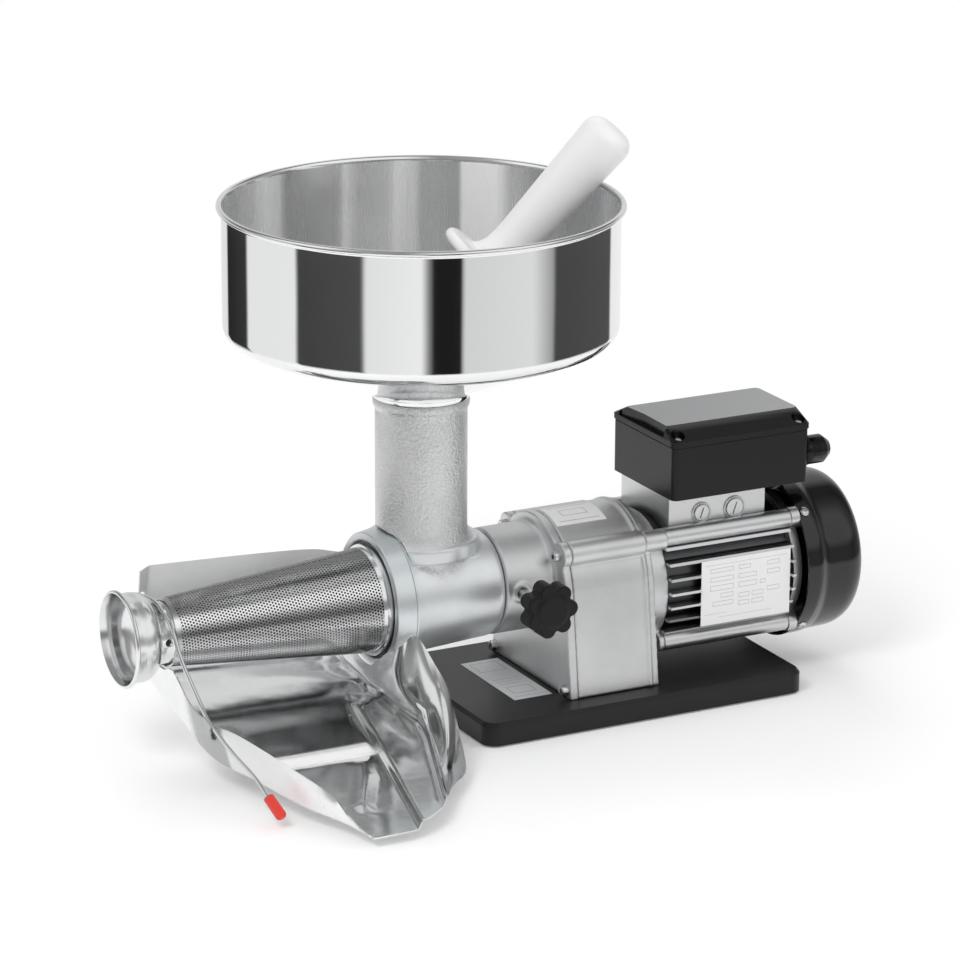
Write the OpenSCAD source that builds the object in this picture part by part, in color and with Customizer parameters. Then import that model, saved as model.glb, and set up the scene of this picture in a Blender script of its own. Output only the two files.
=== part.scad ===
// Electric tomato press: geared motor on a base plate, screw press with a
// perforated cone, round hopper, pestle and pressed juice tray.
// X runs along the machine (outlet at -X, motor at +X), Y away from the user.

/* [Base] */
// Length of the base plate
base_len = 283; // [260:1:320]
// Width of the base plate
base_w = 175; // [160:1:200]
// Height of the base plate's skirt
base_h = 18; // [14:1:24]
// Wall of the base plate
base_wall = 4; // [3:0.5:6]
// Corner radius of the base plate
base_corner = 12; // [6:1:20]
// Distance from the neck axis to the base plate's left end
base_left = 13; // [5:1:30]
// Radius of a rubber foot
foot_r = 12; // [8:1:14]
// How far the feet stand below the skirt
foot_drop = 1.5; // [1:0.5:4]

/* [Press] */
// Height of the press axis above the table
press_z = 104; // [100:1:112]
// Outer radius of the neck
neck_r = 35.5; // [33:0.5:38]
// Wall of the neck
neck_wall = 4; // [3:0.5:5]
// Height of the neck's mouth above the table
neck_top = 262; // [240:1:290]
// Outer radius of the barrel at the ring nut
barrel_r = 46; // [44:0.5:48]
// Outer radius of the barrel at the collar
barrel_rear_r = 42; // [40:0.5:44]
// Radius of the barrel's bore
bore_r = 37; // [35:0.5:39]
// Radius of the concave blend between neck and barrel
neck_blend = 9; // [6:1:14]
// Length of the spigot that enters the collar
spigot_len = 26; // [18:1:34]
// Wall of the ring nut
ring_wall = 7; // [6:0.5:9]
// Width of the ring nut
ring_w = 17; // [15:0.5:22]

/* [Hopper] */
// Outer radius of the hopper's rolled rim
hopper_r = 155; // [130:1:180]
// Height of the hopper's rim above the neck's mouth
hopper_h = 151; // [130:1:180]
// Height of the upright wall
hopper_wall_h = 90; // [60:1:110]
// Sheet thickness of the hopper
sheet = 1; // [0.8:0.1:1.5]
// Radius of the rolled rim bead
rim_bead = 3; // [2:0.5:4]

/* [Pestle] */
// Radius of the pestle's plunger
plunger_r = 15; // [12:1:18]
// Radius of the pestle's guard disc
guard_r = 45; // [36:1:50]
// Distance from the pestle's lower end to its guard
guard_at = 84; // [70:1:100]
// Length of the pestle
pestle_len = 229; // [215:1:260]
// Radius of the pestle's handle at its top end
handle_r = 21; // [18:1:23]
// Lean of the pestle from upright, in degrees
pestle_lean = 41.2; // [38:0.1:46]

/* [Filter] */
// Outer radius of the cone at its large end
cone_r = 41; // [39:0.5:42]
// Outer radius of the cone at its small end
cone_small_r = 26; // [24:0.5:29]
// Length of the perforated cone
cone_len = 168; // [150:1:185]
// Sheet thickness of the cone
cone_sheet = 1.2; // [1:0.1:1.6]
// Radius of the waste outlet's waist
cup_r = 33; // [31:0.5:35]
// Radius of the waste outlet's lip
lip_r = 36.5; // [35:0.5:38]
// Length of the waste outlet cup
cup_len = 26; // [22:1:32]

/* [Tray] */
// Reach of the tray's mouth in front of the press axis
tray_reach = 230; // [200:1:250]
// Sheet thickness of the tray
tray_sheet = 1.2; // [1:0.1:1.5]
// Height of the mouth's floor above the table
mouth_z = 9; // [7:1:14]
// Height of the tray's far wall above the table
tray_back_z = 131; // [120:1:136]
// Radius of the bail's wire
wire_r = 1.6; // [1.4:0.1:2]

/* [Gearbox] */
// Radius of the gearbox's round top
box_r = 56; // [54:0.5:58]
// Half width of the gearbox at its foot
box_foot = 66.5; // [64:0.5:70]
// Length of the gearbox housing
box_len = 65.9; // [60:0.1:70]
// Thickness of the gearbox cover
cover_t = 7.2; // [6:0.1:9]
// Wall of the gearbox housing
box_wall = 5; // [4:0.5:6]
// Distance from the neck axis to the gearbox cover's face
cover_x = 96.4; // [94:0.2:104]
// Outer radius of the collar
collar_r = 42; // [41:0.5:45]
// Teeth of the motor pinion
pinion_teeth = 14; // [14:1:16]
// Teeth of the intermediate gear
middle_teeth = 44; // [42:1:46]
// Teeth of the intermediate pinion
second_teeth = 14; // [14:1:15]
// Teeth of the output gear
output_teeth = 36; // [35:1:37]
// Module of the first gear pair
module_1 = 1.25; // [1.2:0.05:1.3]
// Module of the second gear pair
module_2 = 2; // [1.9:0.05:2.1]

/* [Motor] */
// Height of the motor axis above the table
motor_z = 89; // [86:0.5:92]
// Radius of the finned envelope
fin_r = 60; // [57:0.5:63]
// Radius of the motor's round body
body_r = 50; // [47:0.5:52]
// Length of the finned body
body_len = 113; // [100:1:125]
// Distance between two fins
fin_pitch = 11.5; // [10:0.5:14]
// Thickness of a fin
fin_t = 2.2; // [1.6:0.1:3]
// Radius of the fan cover
cowl_r = 67; // [64:0.5:70]
// Length of the fan cover
cowl_len = 55.5; // [48:0.5:62]
// Radius of the motor shaft
shaft_r = 7; // [6:0.5:7.5]

/* [Terminal box] */
// Length of the terminal box
term_len = 123; // [110:1:130]
// Width of the terminal box
term_w = 98; // [90:1:104]
// Height of the terminal box below its lid
term_h = 42; // [36:1:50]
// Height of the lid
lid_h = 13; // [11:1:18]
// Wall of the terminal box
term_wall = 3; // [2:0.5:4]

/* [Knob] */
// Radius of the clamp knob
knob_r = 22; // [19:0.5:25]
// Number of the knob's lobes
knob_lobes = 7; // [5:1:8]
// Radius of the clamp stud
stud_r = 4; // [3.5:0.5:5]

/* [Hidden] */

// Clearances and small shared sizes
fit = 0.05;
gap = 0.3;
screw_r = 2.5;
bolt_r = 3;
sticker = 0.3;
fine = 32;

// Stations along X and Z
base_bottom = foot_drop;
base_top = foot_drop + base_h;
ring_back = -28.4;
ring_front = ring_back - ring_w;
ring_r = barrel_r + 2 + ring_wall;
nose_front = ring_front + 8;
flange_x = nose_front - gap;
barrel_rear = 53;
spigot_r = 36.15;
collar_front = barrel_rear + gap;
cover_back = cover_x + cover_t;
box_back = cover_back + box_len;
box_z = press_z - 7;
hopper_z = neck_top + hopper_h;
spout_r = neck_r - neck_wall - gap;
wall_r = hopper_r - rim_bead - 1.5;
cone_x = ring_front - 3;
cone_end = cone_x - cone_len;
collar_end = cone_end - 11;
cup_end = collar_end - cup_len;
shield_len = 20;
frame_x = box_back + shield_len;
frame_end = frame_x + body_len;
cowl_x = frame_end + 7.5;
cowl_round = 18;
cowl_end = cowl_x + cowl_len;
mid_r = cone_small_r - 2;

// Gear positions: the layshaft lies where both centre distances meet
dist_1 = module_1 * (pinion_teeth + middle_teeth) / 2;
dist_2 = module_2 * (second_teeth + output_teeth) / 2;
rise = press_z - motor_z;
lay_drop = (dist_2 * dist_2 - dist_1 * dist_1 - rise * rise) / (2 * rise);
lay_z = motor_z - lay_drop;
lay_y = sqrt(max(1, dist_1 * dist_1 - lay_drop * lay_drop));
mesh_1 = atan2(lay_z - motor_z, lay_y);
mesh_2 = atan2(press_z - lay_z, -lay_y);
gear_2_x = cover_back + 6;
gear_2_w = 20;
gear_1_x = gear_2_x + gear_2_w + 9;
gear_1_w = 12;
bearing_w = 8;
drive_r = 10;
square_w = 12;

module placed() {
    translate([shift_x, shift_y, 0]) children();
}

// A round bar along X
module rod_x(x0, x1, r, y = 0, z = 0) {
    translate([x0, y, z]) rotate([0, 90, 0]) cylinder(h = x1 - x0, r = r, $fn = 64);
}

// A round bar along Y
module rod_y(y0, y1, r, x = 0, z = 0) {
    translate([x, y0, z]) rotate([-90, 0, 0]) cylinder(h = y1 - y0, r = r, $fn = 64);
}

// A revolved form about the press axis, its outline drawn as [radius, x]
module turned(z = press_z) {
    translate([0, 0, z]) rotate([0, 90, 0]) rotate_extrude($fn = 96) children();
}

// An outline drawn as [y, z] and carried along X
module along_x(x0, x1) {
    translate([x0, 0, 0]) rotate([90, 0, 90]) linear_extrude(x1 - x0) children();
}

module round_rect(l, w, r) {
    square([l - 2 * r, w], center = true);
    square([l, w - 2 * r], center = true);
    for (sx = [-1, 1], sy = [-1, 1])
        translate([sx * (l / 2 - r), sy * (w / 2 - r)]) circle(r = r, $fn = 48);
}

module box_between(a, b) {
    translate(a) cube(b - a);
}

// A tube swept along a list of points
function unit(v) = v / norm(v);
function tangent(p, i) = unit(p[min(i + 1, len(p) - 1)] - p[max(i - 1, 0)]);
function side(t) = unit(cross(t, abs(t[0]) > 0.9 ? [0, 1, 0] : [1, 0, 0]));
module swept(path, r, n = 10) {
    pts = [for (i = [0:len(path) - 1]) let (t = tangent(path, i), u = side(t), v = cross(t, u))
        for (k = [0:n - 1]) path[i] + r * (cos(360 * k / n) * u + sin(360 * k / n) * v)];
    m = len(path) - 1;
    polyhedron(pts, concat(
        [[for (k = [0:n - 1]) k]],
        [for (i = [0:m - 1], k = [0:n - 1]) let (a = i * n + k, b = i * n + (k + 1) % n)
            [a, a + n, b + n, b]],
        [[for (k = [n - 1:-1:0]) m * n + k]]));
}

// Points of a smooth curve through a list of points
function blend4(a, b, c, d, t) = 0.5 * ((2 * b) + (c - a) * t + (2 * a - 5 * b + 4 * c - d) * t * t
    + (3 * b - a - 3 * c + d) * t * t * t);
function smooth(p, n) = concat(
    [for (i = [0:len(p) - 2], k = [0:n - 1]) blend4(p[max(i - 1, 0)], p[i], p[i + 1],
        p[min(i + 2, len(p) - 1)], k / n)], [p[len(p) - 1]]);

// Involute gear outline, thinned a little so that the teeth run with play
function involute_deg(a) = tan(a) * 180 / PI - a;
function half_tooth(n, m, r) = let (rb = n * m / 2 * cos(20), rr = max(r, rb))
    90 / n + involute_deg(20) - involute_deg(acos(rb / rr)) - 0.09 / r * 180 / PI;
module gear_2d(n, m, turn) {
    pitch_r = n * m / 2;
    radii = [pitch_r - 1.1 * m, pitch_r - 0.5 * m, pitch_r, pitch_r + 0.45 * m, pitch_r + 0.8 * m];
    polygon([for (i = [0:n - 1]) each concat(
        [for (r = radii) let (a = turn + 360 * i / n - half_tooth(n, m, r)) r * [cos(a), sin(a)]],
        [for (k = [4:-1:0]) let (r = radii[k], a = turn + 360 * i / n + half_tooth(n, m, r))
            r * [cos(a), sin(a)]])]);
}

// Base
foot_at = [for (x = [base_left + 24, base_left + base_len - 24], y = [-1, 1])
    [x, y * (base_w / 2 - 22)]];
bolt_at = [for (x = [cover_back + 9, box_back - 10], y = [-1, 1]) [x, y * (box_foot - 14)]];

module base_plate() {
    color("#1d1d1f") placed() difference() {
        union() {
            difference() {
                hull() {
                    translate([base_left + base_len / 2, 0, base_bottom])
                        linear_extrude(base_h - 3, $fn = fine) round_rect(base_len, base_w, base_corner);
                    translate([base_left + base_len / 2, 0, base_bottom])
                        linear_extrude(base_h) round_rect(base_len - 5, base_w - 5, base_corner - 2);
                }
                translate([base_left + base_len / 2, 0, base_bottom - 1])
                    linear_extrude(base_h - base_wall + 1)
                        round_rect(base_len - 2 * base_wall, base_w - 2 * base_wall, base_corner - base_wall);
            }
            for (p = foot_at) translate([p[0], p[1], base_bottom + 3]) cylinder(h = base_h - 5, r = foot_r);
            for (p = bolt_at) translate([p[0], p[1], base_top - base_wall - 4])
                cylinder(h = 5, r = 9);
            for (y = [-1, 1]) box_between([base_left + 3, y * 30 - 1.5, base_bottom + 6],
                [base_left + base_len - 3, y * 30 + 1.5, base_top - 2]);
        }
        for (p = bolt_at) translate([p[0], p[1], 0]) cylinder(h = base_top + 1, r = bolt_r + fit);
    }
}

module rubber_feet() {
    color("#151515") placed() for (p = foot_at) translate([p[0], p[1], 0])
        cylinder(h = base_bottom + 3, r = foot_r);
}

module base_bolts() {
    color("#9a9a9a") placed() for (p = bolt_at) translate([p[0], p[1], 0]) {
        translate([0, 0, base_top - base_wall - 4 - 4]) cylinder(h = 4, r = 5.5, $fn = 6);
        translate([0, 0, base_top - base_wall - 4.5]) cylinder(h = 20, r = bolt_r);
    }
}

module base_label() {
    color("#c9c9cc") placed() box_between([base_left + 45, -46, base_top],
        [base_left + 78, 46, base_top + sticker]);
}

// Gearbox
lug_y = 44;
lug_z = box_z + 34;
low_y = box_foot - 7.5;
low_z = base_top + 6.5;
screw_at = [[-lug_y, lug_z], [lug_y, lug_z], [-low_y, low_z], [low_y, low_z]];

module box_outline(inset = 0) {
    z0 = base_top + inset;
    polygon([[-box_foot + inset, z0], [box_foot - inset, z0], [box_r - 0.5 - inset, box_z + 8],
        [-box_r + 0.5 + inset, box_z + 8]]);
    translate([0, box_z]) circle(r = box_r - inset, $fn = 96);
}

module lug_outline(r = 10) {
    for (s = [-1, 1]) translate([s * lug_y, lug_z]) circle(r = r, $fn = 48);
}

module screw_holes(x0, x1) {
    for (p = screw_at) rod_x(x0, x1, screw_r + fit, p[0], p[1]);
}

module gearbox_housing() {
    color("#b9bbbd") placed() difference() {
        union() {
            along_x(cover_back, box_back) {
                box_outline();
                lug_outline();
            }
            // raised edge at the motor end
            along_x(box_back - 3, box_back) box_outline(-1.5);
        }
        difference() {
            along_x(cover_back - 1, box_back - 7) box_outline(box_wall);
            for (p = screw_at) rod_x(cover_back - 2, box_back, 7.5, p[0], p[1]);
            for (p = bolt_at) translate([p[0], p[1], base_top - 1]) cylinder(h = 17, r = 8);
            rod_x(gear_1_x + gear_1_w + 1.5, box_back, 17, lay_y, lay_z);
        }
        // pocket of the layshaft bearing and passage of the motor shaft
        rod_x(gear_1_x + gear_1_w, gear_1_x + gear_1_w + 1.5 + bearing_w, 13, lay_y, lay_z);
        rod_x(box_back - 8, box_back + 1, 19, 0, motor_z);
        box_between([cover_back - 1, -box_foot - 3, 0], [box_back + 1, box_foot + 3, base_top]);
        screw_holes(cover_back - 1, cover_back + 16);
        for (p = bolt_at) translate([p[0], p[1], base_top - 1]) cylinder(h = 12.8, r = bolt_r + fit);
    }
}

module gearbox_cover() {
    color("#b4b6b8") placed() difference() {
        union() {
            along_x(cover_x, cover_back) {
                box_outline();
                lug_outline();
            }
            // collar with its root blend
            turned() difference() {
                polygon([[0, collar_front], [collar_r - 1, collar_front], [collar_r, collar_front + 1],
                    [collar_r, cover_x - 5], [collar_r + 5, cover_x], [collar_r + 5, cover_x + 1],
                    [0, cover_x + 1]]);
                translate([collar_r + 5, cover_x - 5]) circle(r = 5, $fn = 48);
            }
            // boss of the clamp stud
            rod_y(-collar_r - 1, -collar_r + 4, 7.5, stud_x, stud_z);
            rod_x(cover_back - 1, gear_2_x - 1.4, 16.5, lay_y, lay_z);
        }
        rod_x(collar_front - 1, collar_front + spigot_len + 1, spigot_r + fit, 0, press_z);
        rod_x(collar_front, cover_back + 5, 21 + fit, 0, press_z);
        rod_x(gear_2_x - 1.4 - bearing_w, gear_2_x + 1, 13, lay_y, lay_z);
        rod_y(-collar_r - 3, -20, stud_r + fit, stud_x, stud_z);
        screw_holes(cover_x - 1, cover_back + 1);
    }
}

module cover_screws() {
    color("#8d8f91") placed() for (p = screw_at) difference() {
        union() {
            rod_x(cover_x - 5, cover_x, 4.3, p[0], p[1]);
            rod_x(cover_x - 1, cover_back + 14, screw_r, p[0], p[1]);
        }
        translate([cover_x - 6, p[0], p[1]]) rotate([0, 90, 0]) cylinder(h = 4, r = 2.3, $fn = 6);
    }
}

module gearbox_label() {
    color("white") placed() intersection() {
        along_x(cover_back + 2, cover_back + 46) difference() {
            translate([0, box_z]) circle(r = box_r + fit + sticker, $fn = 96);
            translate([0, box_z]) circle(r = box_r + fit, $fn = 96);
        }
        box_between([cover_x, -24, box_z], [box_back, 6, box_z + 80]);
    }
}

bearing_1_x = collar_front + spigot_len + 5.4;
module output_bearings() {
    color("#a0a2a5") placed() turned() for (x = [bearing_1_x, bearing_1_x + 12.4]) translate([drive_r + fit, x])
        difference() {
            square([21 - drive_r - fit, 12]);
            translate([3.5, -1]) square([4, 2.5]);
            translate([3.5, 10.5]) square([4, 2.5]);
        }
}

module shaft_seal() {
    color("#2a2a2a") placed() turned() polygon([[drive_r + fit, bearing_1_x - 3],
        [drive_r + fit, bearing_1_x - 1], [13, bearing_1_x - 0.5], [21, bearing_1_x - 0.5],
        [21, bearing_1_x - 5], [17, bearing_1_x - 5], [13, bearing_1_x - 2.5]]);
}

module layshaft_bearings() {
    color("#a0a2a5") placed() for (x = [gear_2_x - 1.4 - bearing_w, gear_1_x + gear_1_w + 1.5]) difference() {
        rod_x(x, x + bearing_w, 13 - fit, lay_y, lay_z);
        rod_x(x - 1, x + bearing_w + 1, 5 + fit, lay_y, lay_z);
    }
}

// Gears and shafts
module motor_pinion() {
    color("#8f9194") placed() difference() {
        translate([0, 0, motor_z]) along_x(gear_1_x - 1, gear_1_x + gear_1_w + 1)
            gear_2d(pinion_teeth, module_1, mesh_1);
        rod_x(gear_1_x - 2, gear_1_x + gear_1_w + 2, 5 + fit, 0, motor_z);
    }
}

module middle_gear() {
    color("#8f9194") placed() difference() {
        translate([0, lay_y, lay_z]) along_x(gear_1_x, gear_1_x + gear_1_w)
            gear_2d(middle_teeth, module_1, mesh_1 + 180 + 180 / middle_teeth);
        rod_x(gear_1_x - 1, gear_1_x + gear_1_w + 1, 7 + fit, lay_y, lay_z);
    }
}

module layshaft() {
    color("#9b9da0") placed() {
        rod_x(gear_2_x - 1.4 - bearing_w + 0.5, gear_2_x, 5, lay_y, lay_z);
        translate([0, lay_y, lay_z]) along_x(gear_2_x - 1, gear_2_x + gear_2_w + 1)
            gear_2d(second_teeth, module_2, mesh_2);
        rod_x(gear_2_x + gear_2_w, gear_1_x + gear_1_w, 7, lay_y, lay_z);
        rod_x(gear_1_x + gear_1_w - 1, gear_1_x + gear_1_w + bearing_w + 1, 5, lay_y, lay_z);
    }
}

module output_gear() {
    color("#8f9194") placed() difference() {
        translate([0, 0, press_z]) along_x(gear_2_x, gear_2_x + gear_2_w)
            gear_2d(output_teeth, module_2, mesh_2 + 180 + 180 / output_teeth);
        rod_x(gear_2_x - 1, gear_2_x + gear_2_w + 1, drive_r + fit, 0, press_z);
    }
}

socket_x = collar_front + 8;
module output_shaft() {
    color("#9b9da0") placed() difference() {
        union() {
            rod_x(bearing_1_x - 5, gear_2_x + gear_2_w + 2, drive_r, 0, press_z);
            rod_x(socket_x, bearing_1_x - 5, 13, 0, press_z);
        }
        box_between([socket_x - 1, -square_w / 2, press_z - square_w / 2],
            [socket_x + 18, square_w / 2, press_z + square_w / 2]);
    }
}

// Motor
module motor_lugs(r) {
    for (sy = [-1, 1], sz = [-1, 1]) translate([sy * 43, motor_z + sz * 43]) circle(r = r, $fn = 48);
}

module motor_shield() {
    color("#b4b6b8") placed() difference() {
        union() {
            rod_x(box_back, frame_x, fin_r - 6, 0, motor_z);
            along_x(box_back, box_back + 5.5) box_outline();
            along_x(box_back, frame_x) lug_outline(8.5);
            along_x(frame_x - 5, frame_x) motor_lugs(7.5);
        }
        rod_x(box_back + 13, frame_x + 1, 45, 0, motor_z);
        rod_x(box_back - 1, frame_x, 12, 0, motor_z);
        rod_x(box_back + 1, frame_x, 17.5 + fit, 0, motor_z);
    }
}

ped_x = frame_x + 8;
ped_len = 87;
ped_w = 76;
label_y = fin_r - 3;
term_x = frame_x + 5.5;
term_z = motor_z + 73;

module motor_frame() {
    color("#a9abad") placed() difference() {
        union() {
            along_x(frame_x, frame_end) {
                translate([0, motor_z]) circle(r = body_r, $fn = 96);
                motor_lugs(7.5);
                intersection() {
                    translate([0, motor_z]) circle(r = fin_r, $fn = 96);
                    union() {
                        for (k = [-3:3]) translate([0, motor_z + k * fin_pitch])
                            square([2 * fin_r + 2, fin_t], center = true);
                        for (k = [-3:3]) translate([k * fin_pitch, motor_z - fin_r / 2])
                            square([fin_t, fin_r], center = true);
                    }
                }
            }
            box_between([ped_x, -ped_w / 2, motor_z + 30], [ped_x + ped_len, ped_w / 2, term_z]);
        }
        rod_x(frame_x - 1, frame_end + 1, 45, 0, motor_z);
        box_between([ped_x + 5, -ped_w / 2 + 5, motor_z + 40],
            [ped_x + ped_len - 5, ped_w / 2 - 5, term_z + 1]);
        for (p = plug_at) rod_y(-ped_w / 2 - 1, -ped_w / 2 + 6, p[1] - 1.5, p[0], plug_z);
        // flat under the rating label
        box_between([frame_x + 26.5, -fin_r - 5, motor_z - 31.5], [frame_x + 109.5, -label_y, motor_z + 23.7]);
    }
}

module end_shield() {
    color("#a9abad") placed() difference() {
        union() {
            rod_x(frame_end, cowl_x, 56, 0, motor_z);
            along_x(frame_end, cowl_x - gap) motor_lugs(8.5);
            rod_x(frame_end, frame_end + 14, 22, 0, motor_z);
            // bosses of the fan cover's screws
            for (sy = [-1, 1], sz = [-1, 1])
                rod_x(frame_end, cowl_x + 9.5, 6.5, sy * 38.5, motor_z + sz * 38.5);
        }
        rod_x(frame_end - 1, frame_end + 5, 45, 0, motor_z);
        rod_x(frame_end - 1, frame_end + 13, 17.5 + fit, 0, motor_z);
        rod_x(frame_end - 1, frame_end + 15, 10, 0, motor_z);
        for (a = cowl_screw) cowl_screw_at(a) translate([0, 0, 45]) cylinder(h = 30, r = 2 + fit);
    }
}

module motor_bearings() {
    color("#a0a2a5") placed() translate([0, 0, motor_z]) rotate([0, 90, 0]) rotate_extrude($fn = 96)
        for (x = [box_back + 1.5, frame_end + 1.5])
            translate([shaft_r + fit, x]) square([17.5 - shaft_r - fit, 11]);
}

core_x = frame_x + 22;
core_len = body_len - 40;
module stator_core() {
    color("#77797c") placed() difference() {
        rod_x(core_x, core_x + core_len, 45 - fit, 0, motor_z);
        rod_x(core_x - 1, core_x + core_len + 1, 30, 0, motor_z);
    }
}

module stator_windings() {
    color("#b87333") placed() translate([0, 0, motor_z]) rotate([0, 90, 0]) rotate_extrude($fn = 64) {
        translate([38, core_x - 5.5]) rounded_bar(12, 5.5);
        translate([38, core_x + core_len + 5.5]) rounded_bar(12, 5.5);
    }
}

module rounded_bar(w, r) {
    square([w - 2 * 3, 2 * r], center = true);
    square([w, 2 * r - 6], center = true);
    for (sx = [-1, 1], sy = [-1, 1]) translate([sx * (w / 2 - 3), sy * (r - 3)]) circle(r = 3, $fn = 24);
}

module rotor_shaft() {
    color("#9b9da0") placed() {
        rod_x(gear_1_x - 1, box_back, 5, 0, motor_z);
        rod_x(box_back - 1, frame_end + 40, shaft_r, 0, motor_z);
    }
}

module rotor_core() {
    color("#85878a") placed() difference() {
        rod_x(core_x, core_x + core_len, 29.5, 0, motor_z);
        rod_x(core_x - 1, core_x + core_len + 1, shaft_r + fit, 0, motor_z);
    }
}

fan_x = frame_end + 19;
fan_blades = 8;
module fan() {
    color("#303235") placed() difference() {
        union() {
            rod_x(fan_x, fan_x + 20, 13, 0, motor_z);
            rod_x(fan_x, fan_x + 2.5, 50, 0, motor_z);
            translate([0, 0, motor_z]) for (k = [0:fan_blades - 1]) rotate([360 * k / fan_blades, 0, 0])
                box_between([fan_x, -1.2, 11], [fan_x + 20, 1.2, 50]);
        }
        rod_x(fan_x - 1, fan_x + 21, shaft_r + fit, 0, motor_z);
    }
}

cowl_screw = [45, 135, 225, 315];
module cowl_screw_at(a) {
    translate([cowl_x + 6, 0, motor_z]) rotate([a, 0, 0]) children();
}

module fan_cover() {
    color("#0d0d0e") placed() difference() {
        translate([0, 0, motor_z]) rotate([0, 90, 0]) rotate_extrude($fn = 96) difference() {
            cowl_outline(0);
            cowl_outline(1.6);
        }
        // ring slots of the air intake
        translate([cowl_end - 3, 0, motor_z]) rotate([0, 90, 0]) for (r = [16:7.5:48]) difference() {
            cylinder(h = 6, r = r + 3.6, $fn = 64);
            translate([0, 0, -1]) cylinder(h = 8, r = r, $fn = 64);
            for (a = [0:45:359]) rotate([0, 0, a + 22.5]) translate([-1.6, 0, -1]) cube([3.2, 80, 8]);
        }
        for (a = cowl_screw) cowl_screw_at(a) translate([0, 0, 50]) cylinder(h = 20, r = 2 + fit);
    }
}

// Outline of the fan cover as [radius, x]: a wide mouth, a step and a round shoulder
module cowl_outline(inset) {
    shoulder_r = 11;
    polygon(concat(
        [[0, cowl_x - inset], [cowl_r - inset, cowl_x - inset], [cowl_r - 0.4 - inset, cowl_x + 15],
            [cowl_r - 1.4 - inset, cowl_x + 15.6]],
        [for (a = [0:10:90]) [cowl_r - 2 - shoulder_r + (shoulder_r - inset) * cos(a),
            cowl_end - cowl_round + (cowl_round - inset) * sin(a)]],
        [[0, cowl_end - inset]]));
}

module fan_cover_screws() {
    color("#a8aaad") placed() for (a = cowl_screw) cowl_screw_at(a) {
        translate([0, 0, cowl_r]) cylinder(h = 2, r1 = 4, r2 = 2.6);
        translate([0, 0, cowl_r - 12]) cylinder(h = 13, r = 2);
    }
}

module rating_label() {
    color("white") placed() box_between([frame_x + 27.5, -label_y - sticker, motor_z - 30.5],
        [frame_x + 108.5, -label_y, motor_z + 22.7]);
}

plug_at = [[frame_x + 37, 6.2], [frame_x + 67, 7.2]];
plug_z = motor_z + 57;
module blanking_plugs() {
    color("#b0b2b4") placed() for (p = plug_at) difference() {
        union() {
            rod_y(-ped_w / 2 - 1.6, -ped_w / 2, p[1], p[0], plug_z);
            rod_y(-ped_w / 2 - 0.1, -ped_w / 2 + 5, p[1] - 1.5 - fit, p[0], plug_z);
        }
        translate([p[0], -ped_w / 2 - 1.5, plug_z]) rotate([0, 20, 0])
            cube([1.4, 2, 1.4 * p[1]], center = true);
    }
}

// Terminal box
gland_y = -35;
gland_z = term_z + 21;
module terminal_box() {
    color("#161617") placed() difference() {
        translate([term_x + term_len / 2, 0, term_z]) linear_extrude(term_h) round_rect(term_len, term_w, 5);
        difference() {
            translate([term_x + term_len / 2, 0, term_z + term_wall]) linear_extrude(term_h)
                round_rect(term_len - 2 * term_wall, term_w - 2 * term_wall, 3);
            for (p = lid_screw_at) translate([p[0], p[1], term_z]) cylinder(h = term_h, r = 6);
        }
        box_between([ped_x + 15, -20, term_z - 1], [ped_x + 60, 5, term_z + 5]);
        for (p = lid_screw_at) translate([p[0], p[1], term_z + term_h - 15]) cylinder(h = 16, r = 2 + fit);
        rod_x(term_x + term_len - 9, term_x + term_len + 5, 8 + fit, gland_y, gland_z);
    }
}

module terminal_block() {
    color("#d8d3c0") placed() translate([term_x + 20, -30, term_z + term_wall]) {
        cube([34, 22, 14]);
        for (k = [0:2]) translate([7 + 10 * k, 11, 13.9]) cylinder(h = 5, r = 2.2);
    }
}

module capacitor() {
    color("#d0d0d0") placed() rod_x(term_x + 14, term_x + 96, 16, 22, term_z + term_wall + 16.3);
}

module lid_gasket() {
    color("#3a3a3a") placed() translate([term_x + term_len / 2, 0, term_z + term_h]) difference() {
        linear_extrude(1.5) round_rect(term_len - 1, term_w - 1, 5);
        translate([0, 0, -1]) linear_extrude(4) round_rect(term_len - 8, term_w - 8, 3);
    }
}

lid_screw_at = [for (sx = [-1, 1], sy = [-1, 1])
    [term_x + term_len / 2 + sx * (term_len / 2 - 7), sy * (term_w / 2 - 7)]];
lid_z = term_z + term_h + 1.5;
pocket_h = 3;
module terminal_lid() {
    color("#131314") placed() difference() {
        translate([term_x + term_len / 2, 0, lid_z]) hull() {
            linear_extrude(4, $fn = fine) round_rect(term_len + 2, term_w + 2, 6);
            translate([0, 0, lid_h - 1]) linear_extrude(1, $fn = fine)
                round_rect(term_len - 2, term_w - 36, 4);
        }
        difference() {
            translate([term_x + term_len / 2, 0, lid_z - 1]) hull() {
                linear_extrude(2) round_rect(term_len - 14, term_w - 14, 3);
                translate([0, 0, lid_h - 3]) linear_extrude(1) round_rect(term_len - 20, term_w - 46, 3);
            }
            for (p = lid_screw_at) translate([p[0], p[1], lid_z - 2]) cylinder(h = lid_h, r = 8.5);
        }
        // pockets of the screws and the gripping recess at the end
        for (p = lid_screw_at) translate([p[0], p[1], lid_z - 1]) {
            cylinder(h = 30, r = 2 + fit);
            translate([0, 0, pocket_h + 1]) cylinder(h = 30, r = 5.5);
        }
        translate([term_x, 0, lid_z + 4.5]) linear_extrude(lid_h)
            polygon([[-3, -33], [3, -33], [4, 6], [1, 38], [-3, 38]]);
    }
}

module lid_screws() {
    color("#b8babd") placed() for (p = lid_screw_at) translate([p[0], p[1], lid_z + pocket_h]) {
        cylinder(h = 2.4, r = 3.8);
        translate([0, 0, -17]) cylinder(h = 17.5, r = 2);
    }
}

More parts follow.
